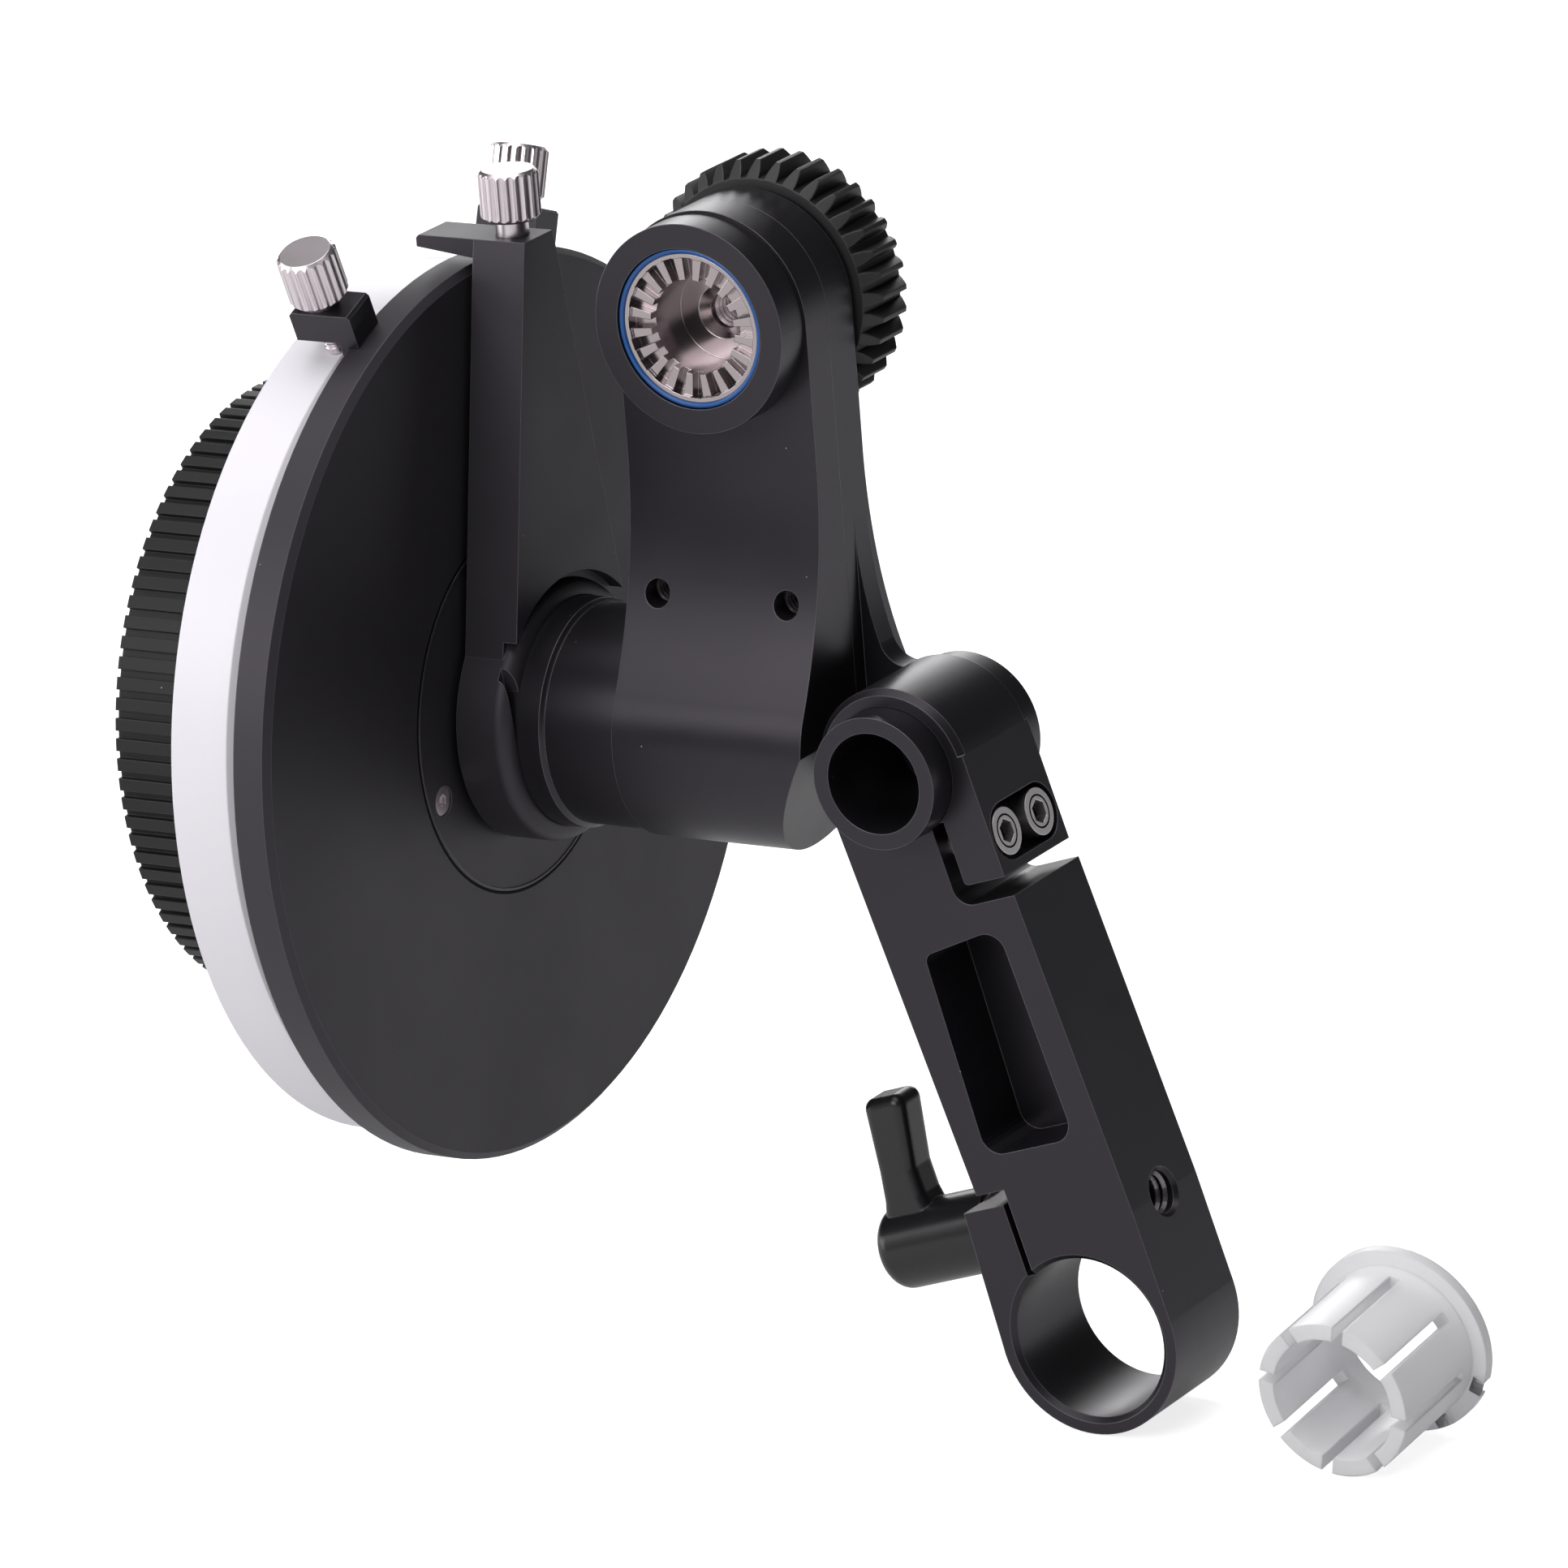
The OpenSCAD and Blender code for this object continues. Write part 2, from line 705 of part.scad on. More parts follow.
// One station of the lever's blade: a rounded bar across the blade at height z
module blade_station(left, right, z, half_depth) {
    for (x = [-left + blade_edge_r, -right - blade_edge_r], y = [-half_depth + blade_edge_r,
        half_depth - blade_edge_r]) {
        translate([x, y, z]) sphere(blade_edge_r, $fn = 24);
    }
}

module clamp_lever() {
    top = lever_rise - blade_edge_r;
    foot_left = lever_outer;
    foot_right = lever_outer - 8.6 / 9.8 * lever_hub_d;
    waist_left = lever_outer - 2.6 / 9.8 * lever_hub_d;
    waist_right = lever_outer - 7.5 / 9.8 * lever_hub_d;
    top_left = lever_outer - 3.5 / 9.8 * lever_hub_d;
    top_right = lever_outer - 9 / 9.8 * lever_hub_d;
    color(black_moulded) on_clamp_screw() difference() {
        union() {
            rotate([0, -90, 0]) rotate_extrude() polygon(rounded([
                [0, lever_hub_inner, 0], [lever_r, lever_hub_inner, 0], [lever_r, lever_outer,
                    lever_round], [0, lever_outer, 0]
            ]));
            hull() {
                blade_station(foot_left, foot_right, 0, blade_half_depth);
                blade_station(waist_left + blade_edge_r / 2, waist_right, 0.32 * lever_rise,
                    blade_half_depth);
            }
            hull() {
                blade_station(waist_left + blade_edge_r / 2, waist_right, 0.32 * lever_rise,
                    blade_half_depth);
                blade_station(waist_left, waist_right, 0.52 * lever_rise, blade_half_depth);
            }
            hull() {
                blade_station(waist_left, waist_right, 0.52 * lever_rise, blade_half_depth);
                blade_station(top_left, top_right, top, blade_half_depth);
            }
        }
        bar_x(lever_stud_r, -lever_stud_seat, -lever_inner + cut);
    }
}

module lever_stud() {
    color(steel) on_clamp_screw() bar_x(lever_stud_r, -lever_stud_seat, lever_stud_tip);
}

module lever_washer() {
    color(steel) on_clamp_screw() ring_x(lever_washer_r, lever_stud_r + fit, -lever_hub_inner,
        -lever_inner);
}

// Gearbox covers

// Outline of both covers seen from the front, with the facet that clears the arm
module box_outline() {
    low = wheel_z - barrel_r - cut;
    facet_z = wheel_z + facet_rise;
    translate([box_x, out_z]) circle(box_w / 2);
    polygon([
        [box_left, out_z], [box_left, low], [box_right - (facet_z - low) * tan(facet_lean), low],
        [box_right, facet_z], [box_right, out_z]
    ]);
}

// Half of the side profile, from the split plane outwards: flat top, hollow blend, barrel
module half_profile(depth) {
    rise = sqrt((barrel_r - depth) * (2 * blend_r + barrel_r + depth));
    touch_share = barrel_r / (blend_r + barrel_r);
    lap = 2 * sqrt(2 * blend_r * blend_cross);
    intersection() {
        circle(barrel_r);
        translate([0, -barrel_r]) square([barrel_r, 2 * barrel_r]);
    }
    translate([0, rise - lap]) square([depth, axis_rise + box_w / 2 + cut - rise + lap]);
    difference() {
        translate([0, touch_share * rise]) square([touch_share * (depth + blend_r),
            (1 - touch_share) * rise]);
        translate([depth + blend_r, rise]) circle(blend_r + blend_cross, $fn = 360);
    }
}

module cover_body(depth, side) {
    intersection() {
        depth_slab(axis_y - barrel_r - cut, axis_y + barrel_r + cut) box_outline();
        translate([0, axis_y, wheel_z]) side_slab(box_left - cut, box_right + cut)
            mirror([side < 0 ? 1 : 0, 0]) half_profile(depth);
    }
}

// Everything hollow inside the closed gearbox: barrel, lay shaft channel, output chamber and seats
module box_hollows() {
    cavity_right = box_right - (barrel_r + facet_rise) * tan(facet_lean) - facet_wall / 2;
    chamber_rear = rear_y - cover_wall;
    on_wheel() {
        bar_x(barrel_cavity_r, box_left + barrel_wall, cavity_right);
        bar_x(housing_spigot_r + fit, box_left - cut, box_left + barrel_wall + cut);
        for (a = housing_screw_angles) {
            rotate([a, 0, 0]) translate([0, housing_screw_pcr, 0]) bar_x(housing_screw_r + fit,
                box_left - cut, box_left + barrel_wall + cut);
        }
    }
    channel(wheel_z, lower_web_z);
    channel(lower_web_z + lay_bush_len, upper_web_top_z - lay_bush_len);
    channel(upper_web_top_z, out_z);
    translate([box_x, axis_y, lower_web_z - cut]) cylinder(r = lay_bush_r,
        h = upper_web_top_z - lower_web_z + 2 * cut);
    on_output() {
        bar_y(lay_chamber_r, front_y + cover_wall, chamber_rear);
        bar_y(journal_r + running_gap, front_y - cut, front_y + cover_wall + cut);
        bar_y(rear_bush_r, chamber_rear - cut, rear_y + cut);
    }
}

module channel(z0, z1) {
    block([box_x - channel_half_w, front_y + cover_wall, z0], [box_x + channel_half_w, rear_y - cover_wall,
        z1]);
}

module front_cover() {
    color(black_anodised) difference() {
        cover_body(front_half, -1);
        box_hollows();
        // Tapped holes for an accessory on the front face
        for (side = [-1, 1]) {
            translate([box_x + side * accessory_pitch / 2, 0, accessory_z]) bar_y(accessory_hole_r,
                front_y - barrel_r, accessory_end_y);
        }
        cover_screw_places() bar_y(cover_screw_r + fit, cover_screw_tip_y, axis_y + cut);
    }
}

module cover_screw_places() {
    for (side = [-1, 1], drop = cover_screw_drops) {
        translate([box_x + side * cover_screw_pitch / 2, 0, out_z - drop]) children();
    }
}

// Rear plate that carries the pivot tube, seen from the front
module pivot_plate_outline() {
    big = [box_right + flare_r, flare_z];
    pivot = [pivot_x, pivot_z];
    line = big - pivot;
    near = boss_r + fillet_r;
    far = flare_r - fillet_r;
    along = (near * near + line * line - far * far) / (2 * norm(line));
    aside = sqrt(near * near - along * along);
    dir = unit(line);
    small = pivot + along * dir + aside * [-dir[1], dir[0]];
    touch_flare = big + unit(small - big) * flare_r;
    touch_boss = pivot + unit(small - pivot) * boss_r;
    inner_x = box_right - facet_wall;
    low_z = pivot_z - boss_r;
    low_x = box_right - (wheel_z + facet_rise - low_z) * tan(facet_lean);
    translate(pivot) circle(boss_r);
    difference() {
        polygon([[inner_x, flare_z], [box_right, flare_z], touch_flare, [inner_x, touch_flare[1]]]);
        translate(big) circle(flare_r, $fn = 360);
    }
    difference() {
        polygon([[inner_x, touch_flare[1]], touch_flare, small, touch_boss, pivot, [pivot_x, low_z],
            [low_x - facet_wall, low_z], [inner_x - facet_wall, wheel_z]]);
        translate(small) circle(fillet_r);
    }
}

module rear_cover() {
    color(black_anodised) difference() {
        union() {
            cover_body(rear_half, 1);
            depth_slab(plate_front_y, rear_y) pivot_plate_outline();
        }
        box_hollows();
        on_pivot() bar_y(tube_spigot_r, plate_front_y - cut, rear_y + cut);
        cover_screw_places() {
            bar_y(cover_screw_r + fit, axis_y - cut, rear_y);
            bar_y(cover_screw_head_r + fit, rear_y - cover_screw_head_h, rear_y + barrel_r);
        }
    }
}

module cover_screws() {
    color(steel) cover_screw_places() translate([0, rear_y - cover_screw_head_h, 0]) rotate([-90, 0, 0])
        cap_screw(cover_screw_head_r, cover_screw_head_h, cover_screw_r,
            rear_y - cover_screw_head_h - cover_screw_tip_y, cover_screw_af);
}

// Pivot tube and its fastening
module pivot_tube() {
    front = -arm_depth / 2 - tube_front;
    floor_y = plate_front_y - tube_floor_gap;
    color(black_anodised) on_pivot() difference() {
        union() {
            bar_y(tube_r, front, plate_front_y);
            bar_y(tube_spigot_r, plate_front_y - cut, rear_y);
        }
        bar_y(tube_bore_d / 2, front - cut, floor_y);
        bar_y(pivot_screw_r, floor_y - cut, rear_y + cut);
    }
}

module pivot_washer() {
    color(steel) on_pivot() ring_y(pivot_washer_r, pivot_screw_r + fit, rear_y, rear_y + pivot_washer_t);
}

module pivot_screw() {
    color(steel) on_pivot() translate([0, rear_y + pivot_washer_t, 0]) rotate([-90, 0, 0])
        cap_screw(pivot_screw_head_r, pivot_screw_head_h, pivot_screw_r - fit,
            rear_y + pivot_washer_t - plate_front_y + tube_floor_gap, pivot_screw_af);
}

// Parts around the output shaft
module cap_ring() {
    color(black_anodised) on_output() difference() {
        bar_y(cap_r, cap_front_y, front_y);
        bar_y(lip_r, cap_front_y - cut, front_y);
        bar_y(front_bush_r, cap_front_y + lip_w, front_y + cut);
    }
}

module seal_ring() {
    color(blue_rubber) on_output() translate([0, seal_y, 0]) rotate([-90, 0, 0]) rotate_extrude()
        translate([(cup_r + lip_r) / 2, 0]) circle(seal_section_r, $fn = 24);
}

module front_bushing() {
    color(bronze) on_output() ring_y(front_bush_r, cup_r + fit, cap_front_y + lip_w, front_y);
}

module rear_bushing() {
    color(bronze) on_output() difference() {
        union() {
            bar_y(rear_bush_r, rear_y - cover_wall, rear_y);
            bar_y(rear_flange_r, rear_y, rear_y + rear_flange_t);
        }
        bar_y(journal_r + fit, rear_y - cover_wall - cut, rear_y + rear_flange_t + cut);
    }
}

// Output shaft: crown teeth for a quick coupling in front, a flatted spigot for the lens gear behind
module output_coupling() {
    crown_y = cup_front_y + crown_recess;
    gap_outer = 360 / crown_teeth * 0.55;
    gap_inner = 360 / crown_teeth * 0.55;
    color(steel) on_output() difference() {
        union() {
            bar_y(cup_r, cup_front_y, front_y - 2 * face_gap);
            bar_y(journal_r, front_y - 2 * face_gap, lens_gear_y);
            intersection() {
                bar_y(spigot_r, lens_gear_y, lens_gear_y + spigot_len);
                block([-spigot_flat, lens_gear_y, -spigot_r], [spigot_flat, lens_gear_y + spigot_len,
                    spigot_r]);
            }
        }
        bar_y(crown_outer_r, cup_front_y - cut, crown_y);
        bar_y(crown_inner_r, crown_y - cut, recess_floor_y);
        bar_y(tap_r, recess_floor_y - cut, recess_floor_y + tap_len);
        bar_y(gear_tap_r, lens_gear_y + spigot_len - gear_tap_len, lens_gear_y + spigot_len + cut);
        translate([0, recess_floor_y, 0]) rotate([-90, 0, 0]) cylinder(r1 = tap_r + tap_chamfer,
            r2 = tap_r, h = tap_chamfer);
        for (i = [0:crown_teeth - 1]) {
            rotate([0, 360 * i / crown_teeth, 0]) depth_slab(crown_y - cut, crown_y + crown_depth) polygon([
                (crown_outer_r + 2 * fit) * [cos(gap_outer / 2), -sin(gap_outer / 2)],
                    (crown_outer_r + 2 * fit) * [cos(gap_outer / 2), sin(gap_outer / 2)],
                (crown_inner_r - fit) * [cos(gap_inner / 2), sin(gap_inner / 2)],
                    (crown_inner_r - fit) * [cos(gap_inner / 2), -sin(gap_inner / 2)]
            ]);
        }
    }
}

module output_bevel() {
    wide = rim_share * output_r
        / tan(atan(output_r / lay_upper_r) - atan(dedendum_share * upper_module / norm([output_r, lay_upper_r])));
    color(steel) on_output() translate([0, axis_y + wide, 0]) rotate([90, 0, 0]) rotate([0, 0,
        270 + 180 / output_teeth])
        bevel_gear(output_teeth, output_r, lay_upper_r, upper_module, wide, journal_r, output_web,
            rim_share * output_r, output_web);
}

module drive_gear() {
    slope = lens_end_slope_share * (lens_tip_r - lens_root_r);
    screw_seat = spigot_len + lens_web;
    color(black_moulded) on_output() translate([0, lens_gear_y, 0]) rotate([-90, 0, 0]) difference() {
        intersection() {
            linear_extrude(lens_gear_w) polygon(spur_points(lens_teeth, lens_pitch_r, lens_addendum,
                lens_dedendum));
            rotate_extrude() polygon([
                [0, 0], [lens_root_r, 0], [lens_tip_r, slope], [lens_tip_r, lens_gear_w - slope],
                    [lens_root_r, lens_gear_w], [0, lens_gear_w]
            ]);
        }
        translate([0, 0, -cut]) linear_extrude(cut + spigot_len) intersection() {
            circle(spigot_r);
            square([2 * spigot_flat, 2 * spigot_r], center = true);
        }
        cylinder(r = gear_tap_r + 2 * fit, h = lens_gear_w);
        translate([0, 0, screw_seat]) cylinder(r = gear_head_r + fit, h = lens_gear_w);
        translate([0, 0, lens_gear_w - gear_recess_depth]) cylinder(r = gear_recess_r, h = lens_gear_w);
    }
}

module gear_screw() {
    color(steel) on_output() translate([0, lens_gear_y + spigot_len + lens_web, 0]) rotate([-90, 0, 0])
        cap_screw(gear_head_r, gear_head_h, gear_tap_r - fit, gear_screw_len, gear_head_af);
}

// Wheel shaft housing
module shaft_housing() {
    color(black_anodised) on_wheel() difference() {
        union() {
            bar_x(housing_r, collar_x, box_left);
            bar_x(collar_r, collar_end_x, collar_x - collar_chamfer);
            translate([collar_x - collar_chamfer, 0, 0]) rotate([0, 90, 0]) cylinder(r1 = collar_r,
                r2 = collar_r - collar_chamfer, h = collar_chamfer);
            bar_x(housing_spigot_r, box_left - cut, box_left + housing_spigot_len);
        }
        bar_x(shaft_bush_r, collar_end_x - cut, box_left + housing_spigot_len + cut);
        for (a = housing_screw_angles) {
            rotate([a, 0, 0]) translate([0, housing_screw_pcr, 0]) bar_x(housing_screw_r + fit,
                box_left - housing_screw_len, box_left + cut);
        }
    }
}

module housing_screws() {
    color(steel) on_wheel() for (a = housing_screw_angles) {
        rotate([a, 0, 0]) translate([box_left + barrel_wall, housing_screw_pcr, 0]) rotate([0, 90, 0])
            cap_screw(housing_screw_head_r, housing_screw_head_h, housing_screw_r, housing_screw_len,
                housing_screw_af);
    }
}

module shaft_bushings() {
    color(bronze) on_wheel() for (x = [collar_end_x, box_left + housing_spigot_len - shaft_bush_len]) {
        ring_x(shaft_bush_r, shaft_r + fit, x, x + shaft_bush_len);
    }
}

// Lay shaft that carries the drive up the gearbox
module lay_shaft() {
    color(steel) translate([box_x, axis_y, wheel_z + toe_share * wheel_bevel_r])
        cylinder(r = lay_r, h = axis_rise - toe_share * (wheel_bevel_r + output_r));
}

module lay_bushings() {
    color(bronze) for (z = [lower_web_z, upper_web_top_z - lay_bush_len]) {
        translate([box_x, axis_y, z]) difference() {
            cylinder(r = lay_bush_r, h = lay_bush_len);
            translate([0, 0, -cut]) cylinder(r = lay_r + fit, h = lay_bush_len + 2 * cut);
        }
    }
}

module lay_bevel_lower() {
    hub = lower_web_z - face_gap - wheel_z - wheel_bevel_r;
    color(steel) translate([box_x, axis_y, wheel_z + wheel_bevel_r]) rotate([180, 0, 0]) rotate([0, 0,
        180 + 180 / lay_lower_teeth])
        bevel_gear(lay_lower_teeth, lay_lower_r, wheel_bevel_r, lower_module, wheel_bevel_r, lay_r, 0,
            lay_lower_r - lower_module, hub);
}

module lay_bevel_upper() {
    hub = out_z - output_r - upper_web_top_z - face_gap;
    color(steel) translate([box_x, axis_y, out_z - output_r]) rotate([0, 0, 90])
        bevel_gear(lay_upper_teeth, lay_upper_r, output_r, upper_module, output_r, lay_r, 0,
            lay_upper_r - upper_module, hub);
}

// Hand wheel
module wheel_disc() {
    color(black_anodised) on_disc() difference() {
        rotate_extrude() polygon([
            [0, 0], [disc_r - rim_chamfer, 0], [disc_r, rim_chamfer], [disc_r, rim_w], [disc_r - rim_lip,
                rim_w],
            [disc_r - rim_lip, rim_w - rim_undercut], [shoulder_r, rim_w - rim_undercut], [shoulder_r,
                shoulder_u],
            [drum_r, shoulder_u], [drum_r, ring_end_u - ring_web], [core_r, ring_end_u - ring_web],
                [core_r, core_end_u],
            [core_r - core_wall, core_end_u], [core_r - core_wall, disc_floor], [core_rib_r, disc_floor],
            [core_rib_r, core_end_u], [core_rib_r - core_wall, core_end_u], [core_rib_r - core_wall, disc_floor],
            [hub_boss_r, disc_floor], [hub_boss_r, core_end_u], [0, core_end_u]
        ]);
        translate([0, 0, -cut]) cylinder(r = hub_plate_r + fit, h = hub_plate_t + cut);
        translate([0, 0, -cut]) cylinder(r = shaft_r, h = core_end_u + 2 * cut);
        hub_screw_places() translate([0, 0, hub_plate_t - cut]) cylinder(r = hub_screw_r + fit,
            h = hub_screw_len + cut - hub_plate_t + hub_screw_sink);
    }
}

module marking_ring() {
    color(white_plastic) on_disc() rotate_extrude() polygon([
        [ring_r - ring_wall, shoulder_u], [ring_r - ring_chamfer, shoulder_u], [ring_r,
            shoulder_u + ring_chamfer], [ring_r, ring_end_u],
        [core_r + core_gap, ring_end_u], [core_r + core_gap, ring_end_u - ring_web], [ring_r - ring_wall,
            ring_end_u - ring_web]
    ]);
}

module grip_ring() {
    root_r = grip_r - rib_depth;
    pitch = 360 / grip_ribs;
    color(black_moulded) on_disc() translate([0, 0, ring_end_u]) difference() {
        linear_extrude(grip_end_u - ring_end_u) polygon([
            for (i = [0:grip_ribs - 1], corner = [0:3])
            let(a = pitch * (i + (corner < 2 ? 0 : rib_share)),
                r = corner == 1 || corner == 2 ? grip_r : root_r)
            r * [cos(a), sin(a)]
        ]);
        translate([0, 0, -cut]) cylinder(r = core_r + core_gap, h = grip_w + 2 * cut);
    }
}

module hub_screw_places() {
    for (i = [0:2]) {
        rotate(hub_screw_angle + 120 * i) translate([hub_screw_pcr, 0, 0]) children();
    }
}

module hub_plate() {
    color(black_anodised) on_disc() difference() {
        cylinder(r = hub_plate_r, h = hub_plate_t);
        translate([0, 0, -cut]) cylinder(r = shaft_r, h = hub_plate_t + 2 * cut);
        hub_screw_places() {
            translate([0, 0, -cut]) cylinder(r = hub_screw_head_r + fit, h = hub_screw_sink + cut);
            cylinder(r = hub_screw_r + fit, h = hub_plate_t + cut);
        }
    }
}

module hub_screws() {
    color(steel) on_disc() hub_screw_places() translate([0, 0, hub_screw_sink]) rotate([180, 0, 0])
        cap_screw(hub_screw_head_r, hub_screw_head_h, hub_screw_r, hub_screw_len, hub_screw_af);
}

module knob_cap() {
    color(black_anodised) on_disc() difference() {
        translate([0, 0, core_end_u]) cylinder(r = core_r, h = cap_t);
        translate([0, 0, core_end_u + cap_t - cap_dish]) cylinder(r1 = core_r - 2 * core_wall,
            r2 = core_r - core_wall, h = cap_dish + fit);
        translate([0, 0, core_end_u - cut]) cylinder(r = knob_screw_r + 2 * fit, h = cap_t + 2 * cut);
    }
}

module knob_screw() {
    color(steel) on_disc() translate([0, 0, core_end_u + cap_t - cap_dish])
        cap_screw(knob_screw_head_r, knob_screw_head_h, knob_screw_r - fit, knob_screw_len, knob_screw_af);
}

module wheel_shaft() {
    front_x = back_x - core_end_u;
    color(steel) on_wheel() difference() {
        bar_x(shaft_r, front_x, shaft_end_x);
        bar_x(knob_screw_r, front_x - cut, front_x + knob_screw_len);
    }
}

module wheel_bevel() {
    slant = norm([wheel_bevel_r, lay_lower_r]);
    wide = rim_share * wheel_bevel_r
        / tan(atan(wheel_bevel_r / lay_lower_r) - atan(dedendum_share * lower_module / slant));
    color(steel) on_wheel() translate([box_x - wide, 0, 0]) rotate([0, 90, 0]) rotate([0, 0, 180])
        bevel_gear(wheel_bevel_teeth, wheel_bevel_r, lay_lower_r, lower_module, wide, shaft_r, bevel_web,
            wheel_bevel_r / 2, bevel_web + cover_wall);
}

// Pointer bracket: a ring on the collar, a tapered web up to the rim and a tongue over the ring
module bracket_outline() {
    top_half = (flank_r - (pointer_rise - tongue_root_t) * sin(flank_lean)) / cos(flank_lean);
    circle(bracket_outer_r);
    polygon([
        flank_r * [-cos(flank_lean), -sin(flank_lean)], flank_r * [cos(flank_lean), -sin(flank_lean)],
        flank_r * [cos(flank_lean), sin(flank_lean)], [top_half, pointer_rise - tongue_root_t],
        [tongue_w / 2, pointer_rise], [-tongue_w / 2, pointer_rise], [-top_half,
            pointer_rise - tongue_root_t],
        flank_r * [-cos(flank_lean), sin(flank_lean)]
    ]);
}

// Square bar minus a round bar, which rounds an edge along Z over the quarter x < 0, y > 0
module edge_cut(length) {
    difference() {
        translate([-cut, 0, 0]) cube([bracket_corner_r + cut, bracket_corner_r + cut, length]);
        translate([bracket_corner_r, 0, -cut]) cylinder(r = bracket_corner_r, h = length + 2 * cut);
    }
}

module pointer_bracket() {
    right = bracket_x + bracket_w;
    color(black_anodised) on_wheel() difference() {
        union() {
            side_slab(bracket_x, right) bracket_outline();
            // Tongue, thinner towards its tip
            translate([0, tongue_w / 2, 0]) rotate([90, 0, 0]) linear_extrude(tongue_w) polygon([
                [bracket_x + fit, pointer_rise], [bracket_x - tongue_len, pointer_rise],
                [bracket_x - tongue_len, pointer_rise - tongue_tip_t], [bracket_x + fit,
                    pointer_rise - tongue_root_t]
            ]);
        }
        bar_x(bracket_ring_r, bracket_x - cut, right + cut);
        // Rounded edge up the front flank and around the ring
        rotate([flank_lean, 0, 0]) translate([right - bracket_corner_r, -flank_r + bracket_corner_r, 0])
            rotate([0, 0, -90])
            translate([0, 0, bracket_outer_r - flank_r]) edge_cut(pointer_rise + 2 * bracket_corner_r);
        translate([right - bracket_corner_r, 0, 0]) rotate([0, 90, 0]) rotate_extrude() difference() {
            translate([bracket_outer_r - bracket_corner_r, 0]) square([bracket_corner_r + cut,
                bracket_corner_r + cut]);
            translate([bracket_outer_r - bracket_corner_r, 0]) circle(bracket_corner_r);
        }
        // Drilled from the top down to the collar for the clamp screw
        translate([bracket_x + bracket_w / 2, 0, 0]) {
            cylinder(r = pointer_screw_r + fit, h = pointer_rise + cut);
            translate([0, 0, pointer_rise - face_gap]) cylinder(r = thumb_neck_r + 2 * fit, h = cut);
        }
        // Index notch in the tongue's tip
        translate([bracket_x - tongue_len, 0, pointer_rise]) rotate([0, 45, 0]) cube([tongue_notch,
            tongue_w + 2 * cut, tongue_notch], center = true);
    }
}

module pointer_screw() {
    color(steel) on_wheel() translate([bracket_x + bracket_w / 2, 0, pointer_rise])
        thumb_screw(pointer_screw_r, pointer_rise - collar_r - fit, pointer_neck_h, pointer_head_h);
}

// Hard stops
module stop_frame(angle) on_disc() rotate(angle) children();

module stop_block(angle) {
    end_u = stop_u + stop_len;
    leg_u = rim_w + leg_gap;
    color(black_anodised) stop_frame(angle) difference() {
        union() {
            rotate([90, 0, 0]) translate([0, 0, -stop_w / 2]) linear_extrude(stop_w) polygon([
                [disc_r + face_gap, stop_u], [stop_top_r - stop_bevel, stop_u], [stop_top_r,
                    stop_u + stop_bevel], [stop_top_r, end_u - stop_bevel],
                [stop_top_r - stop_bevel, end_u], [stop_left_r, end_u], [stop_left_r, leg_u + stop_leg_w],
                    [stop_leg_r, leg_u + stop_leg_w],
                [stop_leg_r, leg_u - stop_foot_w], [stop_leg_r + stop_foot_h, leg_u - stop_foot_w],
                    [stop_leg_r + stop_foot_h, leg_u],
                [disc_r + face_gap, leg_u]
            ]);
        }
        translate([0, 0, stop_screw_u]) rotate([0, 90, 0]) cylinder(r = stop_screw_r + fit,
            h = stop_top_r + cut);
    }
}

module stop_screw(angle) {
    color(steel) stop_frame(angle) translate([stop_top_r, 0, stop_screw_u]) rotate([0, 90, 0])
        thumb_screw(stop_screw_r, stop_top_r - ring_r - face_gap, stop_neck_h, stop_head_h);
}

module stop_a() stop_block(stop_a_angle);
module stop_a_screw() stop_screw(stop_a_angle);
module stop_b() stop_block(stop_b_angle);
module stop_b_screw() stop_screw(stop_b_angle);

bridge_arm();
arm_pinch_screws();
reduction_bush();
clamp_lever();
lever_stud();
lever_washer();
front_cover();
rear_cover();
cover_screws();
cap_ring();
seal_ring();
front_bushing();
rear_bushing();
pivot_tube();
pivot_washer();
pivot_screw();
shaft_housing();
housing_screws();
shaft_bushings();
lay_bushings();
pointer_bracket();
pointer_screw();
wheel_disc();
marking_ring();
grip_ring();
hub_plate();
hub_screws();
knob_cap();
knob_screw();
wheel_shaft();
wheel_bevel();
stop_a();
stop_a_screw();
stop_b();
stop_b_screw();
lay_shaft();
lay_bevel_lower();
lay_bevel_upper();
output_coupling();
output_bevel();
drive_gear();
gear_screw();
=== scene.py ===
"""Looks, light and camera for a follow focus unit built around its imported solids."""

import json
import math

import bmesh
import bpy
from mathutils import Matrix, Vector


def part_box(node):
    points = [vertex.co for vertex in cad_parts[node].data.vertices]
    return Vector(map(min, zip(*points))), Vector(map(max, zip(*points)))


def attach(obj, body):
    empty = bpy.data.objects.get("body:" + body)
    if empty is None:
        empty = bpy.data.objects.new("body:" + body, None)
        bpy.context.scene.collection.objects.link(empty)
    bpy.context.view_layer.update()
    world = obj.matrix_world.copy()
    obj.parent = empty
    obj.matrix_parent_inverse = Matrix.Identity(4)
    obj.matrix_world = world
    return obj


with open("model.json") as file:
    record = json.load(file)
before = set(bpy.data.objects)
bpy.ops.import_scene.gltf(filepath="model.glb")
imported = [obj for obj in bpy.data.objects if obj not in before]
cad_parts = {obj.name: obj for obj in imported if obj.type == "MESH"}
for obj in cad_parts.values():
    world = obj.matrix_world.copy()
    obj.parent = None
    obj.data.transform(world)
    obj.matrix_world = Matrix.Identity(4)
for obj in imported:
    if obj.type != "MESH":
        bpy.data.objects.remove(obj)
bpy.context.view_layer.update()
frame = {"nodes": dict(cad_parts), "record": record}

MM = 0.001


# Places on the object, read from the frame

